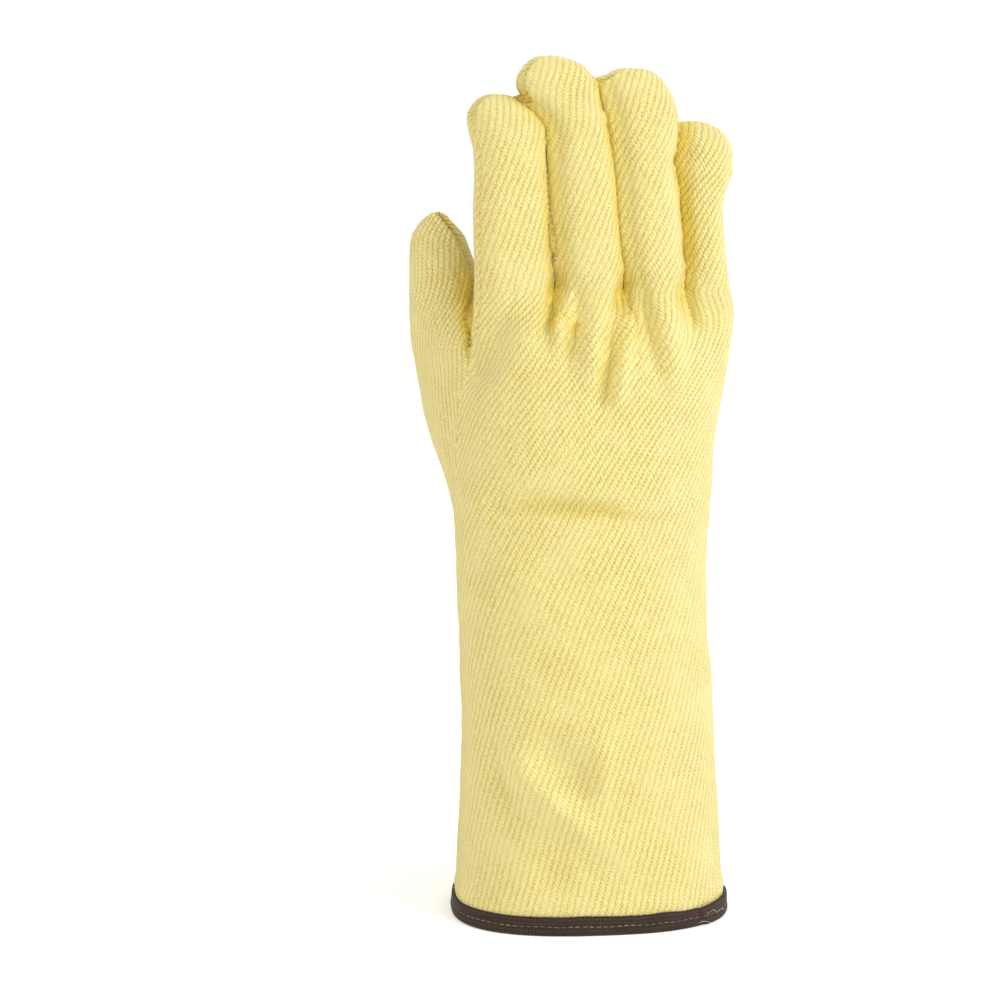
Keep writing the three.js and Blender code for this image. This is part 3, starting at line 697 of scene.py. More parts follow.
def add_thumb(skin, lobe, web, t, w, edge, quarter):
    top = THUMB["height"][-1] * ROOT_HEIGHT
    z = steps(THUMB_CROTCH * ROOT_HEIGHT, top, 52, "end")[1:-1, None]
    outside = skin.add(thumb_arc(t[None], z))
    inside = skin.add(thumb_inside(w[None, 1:-1], z))
    tip = skin.add(thumb_point(0, np.array(top)))
    front = np.column_stack([outside[:, -1], inside, outside[:, :edge + 1]])
    foot = np.concatenate([web[::-1], lobe[1:edge + 1]])
    front = np.vstack([foot, front, np.full(front.shape[1], tip)])
    cloth = cloth_places(skin.at(front), len(w) - 1)
    skin.patch(front, turn_cloth(cloth, THUMB_GRAIN), PALM)
    back = np.vstack([lobe[edge:], outside[:, edge:], np.full(len(t) - edge, tip)])
    skin.patch(back, cloth_places(skin.at(back), quarter - edge), THUMB_BACK)


def add_finger(skin, f, row, web, back_u, palm_u, back_cloth, palm_cloth):
    """A finger from the hand's top row to its tip, as a back and a front that meet at the side seams."""
    top = ROOT_HEIGHT + FINGERS[f]["height"][-1] * FINGER_LENGTH
    z = steps(ROOT_HEIGHT, top, 78, "end")[1:-1, None]
    root = np.array([[ROOT_HEIGHT]])
    gap = COLUMNS["gap"]
    half = len(gap) // 2
    own_back = np.flatnonzero((back_u >= 8 * f) & (back_u <= 8 * f + 8))
    own_palm = np.flatnonzero((palm_u >= 44 - 4 * f) & (palm_u <= 48 - 4 * f))
    if f == 0:
        skin.crotches = [skin.add(gap_point(g, gap[None, 1:-1][0], root))[0] for g in range(3)]
    foot_back = list(row[own_back])
    foot_palm = list(row[len(back_u) - 1 + own_palm])
    back = back_point(f, back_u[None, own_back], z)
    palm = palm_point(f, palm_u[None, own_palm], z)
    if f < 3:
        side = gap_point(f, gap[1:-1], z)
        back = np.concatenate([back, side[:, :half]], axis=1)
        palm = np.concatenate([side[:, half:], palm], axis=1)
        foot_back = foot_back + list(skin.crotches[f][:half])
        foot_palm = list(skin.crotches[f][half:]) + foot_palm
    if f > 0:
        side = gap_point(f, -gap[1:-1][::-1], z)
        back = np.concatenate([side[:, -half:], back], axis=1)
        palm = np.concatenate([palm, side[:, :-half]], axis=1)
        foot_back = list(skin.crotches[f - 1][:half][::-1]) + foot_back
        foot_palm = foot_palm + list(skin.crotches[f - 1][half:][::-1])
    if f == 0:
        w = COLUMNS["web"]
        palm = np.concatenate([palm, web_point(w[None, 1:-1], z)], axis=1)
        foot_palm = foot_palm + list(web[1:-1])
    ring = crease(f, np.concatenate([back, palm], axis=1))
    index = skin.add(ring)
    tip = skin.add(crease(f, finger_point(f, 0, np.array(top))))
    nb = back.shape[1]
    back_index, palm_index = index[:, :nb], index[:, nb:]
    if f == 3:
        palm_index, foot_palm = palm_index[:, 1:], foot_palm[1:]
    right = (back_index[:, -1:], [foot_back[-1]])
    left = (back_index[:, :1], [foot_back[0]])
    palm_index = np.concatenate([right[0], palm_index, left[0]], axis=1)
    foot_palm = right[1] + foot_palm + left[1]
    back_index = np.vstack([foot_back, back_index, np.full(nb, tip)])
    palm_index = np.vstack([foot_palm, palm_index, np.full(len(foot_palm), tip)])
    middle_u = 8 * f + 4
    middle = foot_back.index(row[index_of(back_u, middle_u)])
    u0 = back_cloth[-1, index_of(back_u, middle_u), 0]
    cloth = cloth_places(skin.at(back_index), middle, u0)
    cloth[..., 0] += FINGER_DRAWN[f] * (cloth[..., 1] - ROOT_HEIGHT)
    skin.patch(back_index, cloth, BACK)
    column = index_of(palm_u, 46 - 4 * f)
    middle = foot_palm.index(row[len(back_u) - 1 + column])
    cloth = cloth_places(skin.at(palm_index), middle, palm_cloth[-1, column, 0])
    skin.patch(palm_index, cloth, FRONTS if f in (1, 2) else PALM)


def skin_normals(points, loops):
    a, b, c = (points[loops[:, i]] for i in range(3))
    area = np.cross(b - a, c - a)
    normals = np.zeros_like(points)
    for i in range(3):
        np.add.at(normals, loops[:, i], area)
    return normals / np.maximum(np.linalg.norm(normals, axis=1), 1e-9)[:, None]


def sides_of(loops):
    """The three sides of every triangle, each as its two ends."""
    return np.concatenate([loops[:, [0, 1]], loops[:, [1, 2]], loops[:, [2, 0]]])


def edges_of(loops):
    return np.unique(np.sort(sides_of(loops), axis=1), axis=0)


def relax(points, edges, share, rounds):
    """Moves each point towards the mean of its neighbours, by its own share."""
    degree = np.bincount(edges.ravel(), minlength=len(points))[:, None]
    share = np.asarray(share)[..., None]
    for _ in range(rounds):
        total = np.zeros_like(points)
        np.add.at(total, edges[:, 0], points[edges[:, 1]])
        np.add.at(total, edges[:, 1], points[edges[:, 0]])
        points = points + (total / np.maximum(degree, 1) - points) * share
    return points


def distance_from(marked, points, edges, rounds=14):
    """Distance over the cloth from marked points, as far as some rounds of neighbours reach."""
    distance = np.full(len(points), FAR)
    distance[marked] = 0.0
    length = np.linalg.norm(points[edges[:, 0]] - points[edges[:, 1]], axis=1)
    for _ in range(rounds):
        np.minimum.at(distance, edges[:, 0], distance[edges[:, 1]] + length)
        np.minimum.at(distance, edges[:, 1], distance[edges[:, 0]] + length)
    return distance


def seam_points(skin):
    """Points where two panels meet."""
    meets = np.zeros((len(skin.points), 5), bool)
    for i in range(3):
        meets[skin.loops[:, i], skin.panel] = True
    return meets.sum(axis=1) > 1


def ripple(points, size, seed):
    """Slow unevenness of the cloth, from -1 to 1."""
    offset = Vector((seed, 2.3 * seed, 5.1 * seed))
    return np.array([noise.noise(Vector(p) / size + offset) for p in points])


def slits(points, loops, normals):
    """How wide the slit beside each point is, or FAR without one, and the way across it. Each ray
    starts a little behind the cloth, so that cloth which already overlaps is found too."""
    behind, widest, nudge = 0.8, 8.0, 0.02
    tree = BVHTree.FromPolygons(points.tolist(), loops.tolist())
    wide, across = np.full(len(points), FAR), np.zeros((len(points), 3))
    above = (THUMB_CROTCH - 0.01) * ROOT_HEIGHT
    for i in np.flatnonzero((points[:, 2] > above) & (np.abs(normals[:, 0]) > 0.1)):
        way = Vector((math.copysign(1.0, normals[i, 0]), 0, 0))
        if points[i, 0] < -0.3 * GLOVE_WIDTH and points[i, 2] < 1.1 * ROOT_HEIGHT:
            way = Vector((normals[i, 0], normals[i, 1], 0)).normalized()
        start = Vector(points[i]) - way * behind
        reached = 0.0
        for _ in range(4):
            hit, facing, _, length = tree.ray_cast(start, way, widest - reached)
            if hit is None:
                break
            reached += length
            if facing.dot(way) < -0.2:
                wide[i], across[i] = reached - behind, way
                break
            start = hit + way * nudge
            reached += nudge
    return wide, across


def press_together(points, loops, normals):
    """Closes the narrow slits between fingers: each side gives way by half, and a little more."""
    wide, across = slits(points, loops, normals)
    facing = np.einsum("ij,ij->i", normals, across)
    share = ease((facing - 0.35) / 0.3) * ease((4.5 - wide) / 2.0)
    return points + across * (share * (0.5 * wide + 0.04))[:, None]


def sheltered(points, loops, normals, reach=14.0, rays=24):
    """What share of the cloth's outlook is blocked nearby, as between fingers and down in folds. The cloth's
    colour is darkened there as painted shade.
    """
    tree = BVHTree.FromPolygons(points.tolist(), loops.tolist())
    k = np.arange(rays) + 0.5
    up, turn = np.sqrt(1 - k / rays), k * math.pi * (3 - math.sqrt(5))
    flat = np.sqrt(1 - up * up)
    local = np.stack([flat * np.cos(turn), flat * np.sin(turn), up], 1)
    blocked = np.zeros(len(points))
    for i in np.flatnonzero(points[:, 2] > WRIST_SEAM * ROOT_HEIGHT):
        normal = Vector(normals[i])
        turned = np.array(normal.to_track_quat("Z", "Y").to_matrix())
        start = Vector(points[i]) + normal * 0.25
        for way in local @ turned.T:
            if tree.ray_cast(start, Vector(way), reach)[0] is not None:
                blocked[i] += 1 / rays
    return blocked


def soften(skin, edges, crotch):
    """Rounds the crotches, evens the side seam, presses the folds in and rounds the knuckles."""
    firm = np.where(skin.points[:, 2] < ROOT_HEIGHT - 9, 0.12, 0.6)
    points = relax(skin.points, edges, firm * crotch, 30)
    beside = distance_from(skin.side_seam, points, edges)
    below = ease((THUMB_CROTCH * ROOT_HEIGHT - points[:, 2]) / 9)
    points = relax(points, edges, 0.6 * below * np.exp(-(beside / 7) ** 2), 30)
    points = fold(points, skin_normals(points, skin.loops))
    height = points[:, 2] / ROOT_HEIGHT
    on_back = ease(-2 * skin_normals(points, skin.loops)[:, 1])
    knuckles = ease((height - 0.88) / 0.06) * ease((1.05 - height) / 0.03) * on_back
    points = relax(points, edges, 0.5 * crotch, 6)
    return relax(points, edges, 0.5 * knuckles, 3), beside, below


def seam_relief(away, pucker):
    """A groove on the seam with a low welt beside it, at a distance from the seam."""
    groove = GROOVE["depth"] * np.exp(-(away / GROOVE["breadth"]) ** 2) * pucker
    return groove - WELT["rise"] * np.exp(-((away - WELT["away"]) / WELT["breadth"]) ** 2) * pucker


def shape_cloth(skin):
    """Softens the skin, draws the seams in and lets the cloth lie unevenly. Gives each point's nearness to a
    seam and how sheltered it lies, the two masks of painted shade in the cloth's colour."""
    edges = edges_of(skin.loops)
    crotch = np.exp(-(distance_from(skin.crotches, skin.points, edges) / 6) ** 2)
    points, beside, below = soften(skin, edges, crotch)
    closed = ease((8 - beside) / 4)
    away = distance_from(seam_points(skin), points, edges)
    normals = skin_normals(points, skin.loops)
    z = points[:, 2]
    points = points + normals * (0.8 * np.exp(-((z - 11.5) / 3) ** 2) * (z < 30))[:, None]
    touching = ease((np.abs(normals[:, 0]) - 0.5) / 0.3) * ease((z - ROOT_HEIGHT + 4) / 8)
    lie = ease((z - 8) / 14) * (1 - crotch)
    groove = seam_relief(away, 1 + 0.5 * ripple(points, 2.4, 3.0))
    groove *= 1 - touching * (normals[:, 0] > 0)
    thumb = (points[:, 0] < -0.36 * GLOVE_WIDTH) & (points[:, 1] > 8) & (z > ROOT_HEIGHT)
    groove = groove * (1 - closed) * (1 + 0.9 * thumb) - 0.8 * below * np.exp(-(beside / 3.5) ** 2)
    uneven = 0.6 * ripple(points, 26, 1.0) + 0.25 * ripple(points, 9, 2.0)
    uneven = uneven * (1 - 0.95 * touching) * (1 - 0.4 * ease((z - ROOT_HEIGHT) / 15))
    points = points + normals * ((uneven - groove) * lie)[:, None]
    skin.points = press_together(points, skin.loops, skin_normals(points, skin.loops))
    # Both masks returned here are painted as shade in the cloth's colour: nearness to a seam for the seam
    # grooves, shelter for gaps, crotches and folds.
    shelter_shade = sheltered(skin.points, skin.loops, skin_normals(skin.points, skin.loops))
    return np.exp(-(away / 0.75) ** 2) * (1 - closed), relax(shelter_shade[:, None], edges, 0.4, 4)[:, 0]


def make_mesh(name, vertices, faces, cloth=None, values=None):
    mesh = bpy.data.meshes.new(name)
    mesh.vertices.add(len(vertices))
    mesh.vertices.foreach_set("co", (np.asarray(vertices) * MM).astype(np.float32).ravel())
    mesh.loops.add(faces.size)
    mesh.loops.foreach_set("vertex_index", faces.astype(np.int32).ravel())
    mesh.polygons.add(len(faces))
    mesh.polygons.foreach_set("loop_start", np.arange(0, faces.size, faces.shape[1], dtype=np.int32))
    if cloth is not None:
        layer = mesh.uv_layers.new(name="cloth")
        layer.data.foreach_set("uv", cloth.astype(np.float32).ravel())
    for key, data in (values or {}).items():
        layer = mesh.attributes.new(key, "FLOAT", "POINT")
        layer.data.foreach_set("value", np.asarray(data, np.float32))
    mesh.update(calc_edges=True)
    mesh.polygons.foreach_set("use_smooth", np.ones(len(faces), bool))
    mesh.validate()
    piece = bpy.data.objects.new(name, mesh)
    bpy.context.scene.collection.objects.link(piece)
    return piece


def panel_piece(name, skin, normals, panel, values):
    """One panel of cloth as a closed wall, its edge turned in along the seams."""
    own = skin.panel == panel
    loops, cloth = skin.loops[own], skin.cloth[own]
    used, local = np.unique(loops, return_inverse=True)
    local = local.reshape(loops.shape)
    outer = skin.points[used]
    inner = outer - normals[used] * CLOTH_THICKNESS
    count = len(used)
    half, place_of = sides_of(local), sides_of(cloth)
    code = half[:, 0] * count + half[:, 1]
    border = ~np.isin(code, half[:, 1] * count + half[:, 0])
    a, b = half[border].T
    pa, pb = place_of[border][:, 0], place_of[border][:, 1]
    faces = np.concatenate([local, local[:, ::-1] + count,
                            np.stack([b, a, a + count], 1), np.stack([b, a + count, b + count], 1)])
    uv = np.concatenate([cloth, cloth[:, ::-1], np.stack([pb, pa, pa], 1), np.stack([pb, pa, pb], 1)])
    both = {key: np.concatenate([data[used], data[used]]) for key, data in values.items()}
    return make_mesh(name, np.concatenate([outer, inner]), faces, uv, both)


class Tree:
    """Short ways to add and join the nodes of one shader or geometry tree."""

    def __init__(self, tree):
        self.tree = tree

    def add(self, kind, inputs=None, **settings):
        node = self.tree.nodes.new(kind)
        for key, value in settings.items():
            setattr(node, key, value)
        self.fill(node, inputs or {})
        return node

    def fill(self, node, inputs):
        for key, value in inputs.items():
            self.feed(node.inputs[key], value)

    def feed(self, socket, value):
        if isinstance(value, bpy.types.NodeSocket):
            self.tree.links.new(value, socket)
        else:
            socket.default_value = value

    def math(self, operation, *values):
        return self.add("ShaderNodeMath", dict(enumerate(values)), operation=operation).outputs[0]

    def vector(self, operation, *values):
        return self.add("ShaderNodeVectorMath", dict(enumerate(values)), operation=operation).outputs[0]

    def blend(self, share, first, second, mode="MIX"):
        node = self.add("ShaderNodeMix", {0: share, 6: first, 7: second}, data_type="RGBA", blend_type=mode)
        return node.outputs[2]

    def range(self, value, low, high, to_low=0.0, to_high=1.0):
        node = self.add("ShaderNodeMapRange", {0: value, 1: low, 2: high, 3: to_low, 4: to_high})
        return node.outputs[0]

    def grain(self, place_on, scale, detail=2.0, roughness=0.5):
        return self.add("ShaderNodeTexNoise", {
            "Vector": place_on, "Scale": scale, "Detail": detail, "Roughness": roughness}).outputs

    def scale(self, vector, factor):
        scaled = self.vector("SCALE", vector)
        self.feed(scaled.node.inputs["Scale"], factor)
        return scaled

    def turn_further(self, rotation, euler):
        further = self.add("FunctionNodeEulerToRotation", {0: euler}).outputs[0]
        node = self.add("FunctionNodeRotateRotation", {0: rotation, 1: further}, rotation_space="LOCAL")
        return node.outputs[0]


def new_group(name, kind, inputs, outputs):
    """A node group with named inputs and outputs, each given as name: (socket type, default)."""
    tree = bpy.data.node_groups.new(name, kind)
    for key, (socket_type, default) in inputs.items():
        socket = tree.interface.new_socket(key, in_out="INPUT", socket_type=socket_type)
        if default is not None:
            socket.default_value = default
    for key, socket_type in outputs.items():
        tree.interface.new_socket(key, in_out="OUTPUT", socket_type=socket_type)
    build = Tree(tree)
    return build, build.add("NodeGroupInput").outputs, build.add("NodeGroupOutput").inputs


FLOAT, COLOUR, VECTOR = "NodeSocketFloat", "NodeSocketColor", "NodeSocketVector"
GEOMETRY, MATERIAL = "NodeSocketGeometry", "NodeSocketMaterial"


def twill_group():
    """Raised diagonal ribs made of short slanting floats, under a soft nap with a few bright flecks.
    Cloth is the place on the flat cloth in mm; the shelter and seam masks mix in painted shade, a golden
    colour for the shade between fingers, in crotches and folds and in the seam grooves."""
    b, given, out = new_group("twill", "ShaderNodeTree", {
        "Cloth": (VECTOR, None), "Rib spacing": (FLOAT, 2.4), "Rib angle": (FLOAT, 57.0),
        "Float length": (FLOAT, 1.6), "Wander": (FLOAT, 1.5), "Fray": (FLOAT, 1.4), "Nap": (FLOAT, 0.55),
        "Shelter shade": (FLOAT, 0.0), "Seam": (FLOAT, 0.0), "Rib colour": (COLOUR, None),
        "Furrow colour": (COLOUR, None), "Fleck colour": (COLOUR, None), "Painted shade colour": (COLOUR, None),
    }, {"Color": COLOUR, "Height": FLOAT})
    middle = (0.5, 0.5, 0.5)
    drift = b.vector("SUBTRACT", b.grain(given["Cloth"], 0.045, 3.0)["Color"], middle)
    jitter = b.vector("SUBTRACT", b.grain(given["Cloth"], 0.7, 3.0)["Color"], middle)
    cloth = b.vector("ADD", given["Cloth"], b.scale(drift, given["Wander"]))
    cloth = b.vector("ADD", cloth, b.scale(jitter, given["Fray"]))
    angle = b.math("RADIANS", b.math("MULTIPLY", given["Rib angle"], -1.0))
    turned = b.add("ShaderNodeVectorRotate", {"Vector": cloth, "Angle": angle}, rotation_type="Z_AXIS")
    split = b.add("ShaderNodeSeparateXYZ", {0: turned.outputs[0]}).outputs
    across = b.math("DIVIDE", split["Y"], given["Rib spacing"])
    row = b.math("FLOOR", across)
    side = b.math("MULTIPLY_ADD", b.math("FRACT", across), 2.0, -1.0)
    chance = b.add("ShaderNodeTexWhiteNoise", {"W": row}, noise_dimensions="1D").outputs["Value"]
    slant = b.math("MULTIPLY_ADD", side, -0.42, b.math("MULTIPLY", chance, 9.0))
    edge = b.math("MULTIPLY", side, side)
    rib = b.math("POWER", b.math("SUBTRACT", 1.0, edge), 0.75)
    run = b.math("ADD", b.math("DIVIDE", split["X"], given["Float length"]), slant)
    half = b.math("MULTIPLY_ADD", b.math("FRACT", run), 2.0, -1.0)
    between = b.math("POWER", b.math("ABSOLUTE", half), 2.0)
    place_on = b.add("ShaderNodeCombineXYZ", {0: row, 1: b.math("FLOOR", run)}).outputs[0]
    cell = b.add("ShaderNodeTexWhiteNoise", {"Vector": place_on}, noise_dimensions="2D").outputs["Value"]
    float_height = b.math("MULTIPLY_ADD", between, -0.5, b.math("MULTIPLY_ADD", cell, 0.3, 0.8))
    nap = b.math("SUBTRACT", b.grain(cloth, 1.3, 5.0, 0.75)[0], 0.5)
    height = b.math("MULTIPLY_ADD", nap, given["Nap"], b.math("MULTIPLY", rib, float_height))
    contrast = b.range(b.grain(given["Cloth"], 0.05, 4.0)[0], 0.36, 0.64, 1.45, 0.55)
    furrow = b.math("MULTIPLY", b.math("POWER", edge, 1.4), b.math("MULTIPLY_ADD", between, 0.95, 0.22))
    furrow = b.math("MULTIPLY", furrow, b.math("MULTIPLY_ADD", cell, 0.8, 0.7))
    shade = b.math("MULTIPLY_ADD", between, 0.22, furrow)
    fuzz = b.range(b.grain(cloth, 1.9, 3.0, 0.85)[0], 0.3, 0.7, -0.5, 0.5)
    shade = b.math("ADD", b.math("MULTIPLY", shade, contrast), fuzz)
    colour = b.blend(b.range(shade, -0.35, 0.95), given["Rib colour"], given["Furrow colour"])
    tint = b.range(b.grain(cloth, 1.1, 1.0)[0], 0.55, 0.75, 0.0, 0.35)
    colour = b.blend(tint, colour, given["Fleck colour"], "SOFT_LIGHT")
    fleck = b.math("MULTIPLY", b.range(cell, 0.988, 0.992, 0.0, 0.5), b.math("SUBTRACT", 1.0, between))
    colour = b.blend(fleck, colour, given["Fleck colour"])
    slub = b.add("ShaderNodeTexVoronoi", {"Vector": given["Cloth"], "Scale": 0.085}).outputs["Distance"]
    colour = b.blend(b.range(slub, 0.03, 0.06, 0.5, 0.0), colour, given["Fleck colour"])
    # Painted shade: sheltered cloth and the seam grooves turn to the golden shade colour.
    shelter = b.range(given["Shelter shade"], 0.06, 0.42, 0.0, 0.92)
    painted_shade = b.math("MAXIMUM", shelter, b.math("MULTIPLY", given["Seam"], 0.55))
    b.feed(out["Color"], b.blend(painted_shade, colour, given["Painted shade colour"]))
    b.feed(out["Height"], height)
    return b.tree


def tape_group():
    """Narrow woven tape: fine upright ribs with slight lengthwise lines."""
    b, given, out = new_group("woven_tape", "ShaderNodeTree", {
        "Cloth": (VECTOR, None), "Rib spacing": (FLOAT, 0.8), "Line spacing": (FLOAT, 1.6),
        "Body colour": (COLOUR, None), "Worn colour": (COLOUR, None),
    }, {"Color": COLOUR, "Height": FLOAT})
    split = b.add("ShaderNodeSeparateXYZ", {0: given["Cloth"]}).outputs
    wave = b.math("SINE", b.math("MULTIPLY", b.math("DIVIDE", split["X"], given["Rib spacing"]), math.tau))
    line = b.math("SINE", b.math("MULTIPLY", b.math("DIVIDE", split["Y"], given["Line spacing"]), math.tau))
    weave = b.math("MULTIPLY_ADD", wave, 0.22, b.math("MULTIPLY_ADD", line, 0.16, 0.45))
    grain = b.math("SUBTRACT", b.grain(given["Cloth"], 1.4, 4.0)[0], 0.5)
    height = b.math("MULTIPLY_ADD", grain, 0.5, weave)
    rubbed = b.grain(b.vector("MULTIPLY", given["Cloth"], (0.05, 0.4, 1.0)), 1.0, 3.0)[0]
    share = b.math("MULTIPLY", b.range(height, 0.25, 0.85), b.range(rubbed, 0.3, 0.75, 0.15, 0.8))
    b.feed(out["Color"], b.blend(share, given["Body colour"], given["Worn colour"]))
    b.feed(out["Height"], height)
    return b.tree


def new_material(name):
    material = bpy.data.materials.new(name)
    material.use_nodes = True
    build = Tree(material.node_tree)
    return material, build, material.node_tree.nodes["Principled BSDF"]


def twill_material(name, group, rib_angle):
    material, b, shader = new_material(name)
    # Painted shade: the shelter and seam masks turn the cloth to the golden shade colour (0.82, 0.60, 0.055)
    # in gaps, crotches, folds and seam grooves.
    shelter_shade, seam = (b.add("ShaderNodeAttribute", attribute_name=n).outputs["Fac"] for n in ("shelter_shade", "seam"))
    twill = b.add("ShaderNodeGroup", {
        "Cloth": b.add("ShaderNodeUVMap", uv_map="cloth").outputs[0], "Rib angle": rib_angle,
        "Shelter shade": shelter_shade, "Seam": seam,
        "Rib colour": (0.95, 0.845, 0.43, 1), "Furrow colour": (0.63, 0.50, 0.10, 1),
        "Fleck colour": (0.86, 0.66, 0.08, 1), "Painted shade colour": (0.82, 0.60, 0.055, 1)},
        node_tree=group).outputs
    bump = b.add("ShaderNodeBump", {"Height": twill["Height"], "Strength": 1.0, "Distance": 0.75 * MM})
    b.fill(shader, {
        "Base Color": twill["Color"], "Normal": bump.outputs[0], "Roughness": 0.95, "Specular IOR Level": 0.2,
        "Sheen Weight": 0.45, "Sheen Roughness": 0.4, "Sheen Tint": (1.0, 0.98, 0.85, 1)})
    return material


def tape_material():
    material, b, shader = new_material("brown_tape")
    weave = b.add("ShaderNodeGroup", {
        "Cloth": b.add("ShaderNodeUVMap", uv_map="cloth").outputs[0],
        "Body colour": (0.028, 0.016, 0.012, 1), "Worn colour": (0.095, 0.060, 0.048, 1)},
        node_tree=tape_group()).outputs
    bump = b.add("ShaderNodeBump", {"Height": weave["Height"], "Strength": 0.8, "Distance": 0.2 * MM})
    b.fill(shader, {
        "Base Color": weave["Color"], "Normal": bump.outputs[0], "Roughness": 0.85,
        "Specular IOR Level": 0.25, "Sheen Weight": 0.06})
    return material


def thread_material(name, dark, light, spacing):
    """Sewing thread and loose fibres, uneven in tone from one bit to the next."""
    material, b, shader = new_material(name)
    place_on = b.add("ShaderNodeTexCoord").outputs["Object"]
    tone = b.range(b.grain(place_on, 1 / (spacing * MM))[0], 0.35, 0.65)
    bump = b.add("ShaderNodeBump", {"Height": b.grain(place_on, 2200.0)[0], "Distance": 0.05 * MM})
    b.fill(shader, {
        "Base Color": b.blend(tone, (*dark, 1), (*light, 1)), "Normal": bump.outputs[0], "Roughness": 0.8})
    return material


def made_by_nodes(name, source, group, values):
    """Runs a geometry tree on a mesh and keeps the result as a plain mesh."""
    carrier = bpy.data.objects.new(name + "_source", source)
    bpy.context.scene.collection.objects.link(carrier)
    modifier = carrier.modifiers.new("make", "NODES")
    modifier.node_group = group
    for item in group.interface.items_tree:
        if item.item_type == "SOCKET" and item.in_out == "INPUT" and item.name in values:
            modifier[item.identifier] = values[item.name]
    evaluated = carrier.evaluated_get(bpy.context.evaluated_depsgraph_get())
    mesh = bpy.data.meshes.new_from_object(evaluated)
    mesh.name = name
    bpy.data.objects.remove(carrier)
    bpy.data.meshes.remove(source)
    piece = bpy.data.objects.new(name, mesh)
    bpy.context.scene.collection.objects.link(piece)
    return piece


def stitch_tree():
    """Short lengths of thread laid end to end, or at a slant, along a path of edges."""
    b, given, out = new_group("stitches", "GeometryNodeTree", {
        "Path": (GEOMETRY, None), "Spacing": (FLOAT, 0.003), "Length": (FLOAT, 0.002),
        "Thickness": (FLOAT, 0.0006), "Slant": (FLOAT, 0.0), "Thread": (MATERIAL, None),
    }, {"Stitches": GEOMETRY})
    curve = b.add("GeometryNodeMeshToCurve", {0: given["Path"]}).outputs[0]
    even = b.add("GeometryNodeResampleCurve", {"Curve": curve, "Length": given["Spacing"]}, mode="LENGTH")
    outward = b.add("GeometryNodeInputNamedAttribute", {"Name": "outward"}, data_type="FLOAT_VECTOR")
    tangent = b.add("GeometryNodeInputTangent").outputs[0]
    facing = b.add("FunctionNodeAlignRotationToVector", {"Vector": outward.outputs[0]}, axis="Z").outputs[0]
    along = b.add("FunctionNodeAlignRotationToVector", {"Rotation": facing, "Vector": tangent}, axis="X",
                  pivot_axis="Z").outputs[0]
    swing = b.add("FunctionNodeRandomValue", {2: -0.12, 3: 0.12, "Seed": 5}, data_type="FLOAT").outputs[1]
    slant = b.add("ShaderNodeCombineXYZ", {2: b.math("ADD", given["Slant"], swing)}).outputs[0]
    ball = b.add("GeometryNodeMeshUVSphere", {"Segments": 8, "Rings": 6, "Radius": 0.5}).outputs[0]
    size = b.add("ShaderNodeCombineXYZ", {0: given["Length"], 1: given["Thickness"], 2: given["Thickness"]})
    laid = b.add("GeometryNodeInstanceOnPoints", {
        "Points": even.outputs[0], "Instance": ball, "Rotation": b.turn_further(along, slant),
        "Scale": size.outputs[0]})
    real = b.add("GeometryNodeRealizeInstances", {0: laid.outputs[0]}).outputs[0]
    smooth = b.add("GeometryNodeSetShadeSmooth", {"Geometry": real}).outputs[0]
    sewn = b.add("GeometryNodeSetMaterial", {"Geometry": smooth, "Material": given["Thread"]})
    b.feed(out["Stitches"], sewn.outputs[0])
    return b.tree


def fibre_tree():
    """Short bent fibres that stand a little way off a surface."""
    b, given, out = new_group("fibres", "GeometryNodeTree", {
        "Surface": (GEOMETRY, None), "Density": (FLOAT, 100.0), "Length": (FLOAT, 0.0012),
        "Thickness": (FLOAT, 0.00005), "Seed": ("NodeSocketInt", 1), "Fibre": (MATERIAL, None),
    }, {"Fibres": GEOMETRY})
    spread = b.add("GeometryNodeDistributePointsOnFaces", {
        "Mesh": given["Surface"], "Density": given["Density"], "Seed": given["Seed"]}).outputs
    bend = b.add("GeometryNodeCurveQuadraticBezier", {
        "Resolution": 3, "Start": (0, 0, 0), "Middle": (0.1, 0, 0.55), "End": (0.65, 0.1, 0.8)}).outputs[0]
    radius = b.math("DIVIDE", given["Thickness"], given["Length"])
    ring = b.add("GeometryNodeCurvePrimitiveCircle", {"Resolution": 3, "Radius": radius}).outputs[0]
    fibre = b.add("GeometryNodeCurveToMesh", {"Curve": bend, "Profile Curve": ring, "Fill Caps": True})
    tilt = b.add("FunctionNodeRandomValue", {0: (-0.9, -0.9, -3.14), 1: (0.9, 0.9, 3.14), "Seed": 3},
                 data_type="FLOAT_VECTOR").outputs[0]
    size = b.add("FunctionNodeRandomValue", {2: 0.5, 3: 1.3, "Seed": 4}, data_type="FLOAT").outputs[1]
    laid = b.add("GeometryNodeInstanceOnPoints", {
        "Points": spread["Points"], "Instance": fibre.outputs[0],
        "Rotation": b.turn_further(spread["Rotation"], tilt),
        "Scale": b.math("MULTIPLY", size, given["Length"])})
    real = b.add("GeometryNodeRealizeInstances", {0: laid.outputs[0]}).outputs[0]
    grown = b.add("GeometryNodeSetMaterial", {"Geometry": real, "Material": given["Fibre"]})
    b.feed(out["Fibres"], grown.outputs[0])
    return b.tree


def edge_mesh(name, points, edges, outward):
    """Edges through points, each point with the direction that faces out of the cloth."""
    mesh = bpy.data.meshes.new(name)
    mesh.from_pydata((points * MM).tolist(), edges.tolist(), [])
    layer = mesh.attributes.new("outward", "FLOAT_VECTOR", "POINT")
    layer.data.foreach_set("vector", np.asarray(outward, np.float32).ravel())
    return mesh


def rim(u, z, out):
    """Points a distance out from the cloth round the hem. u runs from 0 to 60 round the glove."""
    ahead, behind = (hand_point(line_angle((u + s) % THUMB_END, z), z) for s in (0.2, -0.2))
    along = ahead - behind
    along /= np.linalg.norm(along, axis=-1)[..., None]
    outward = np.stack([along[..., 1], -along[..., 0], 0 * along[..., 0]], -1)
    return hand_point(line_angle(u % THUMB_END, z), z) + outward * np.asarray(out)[..., None], outward


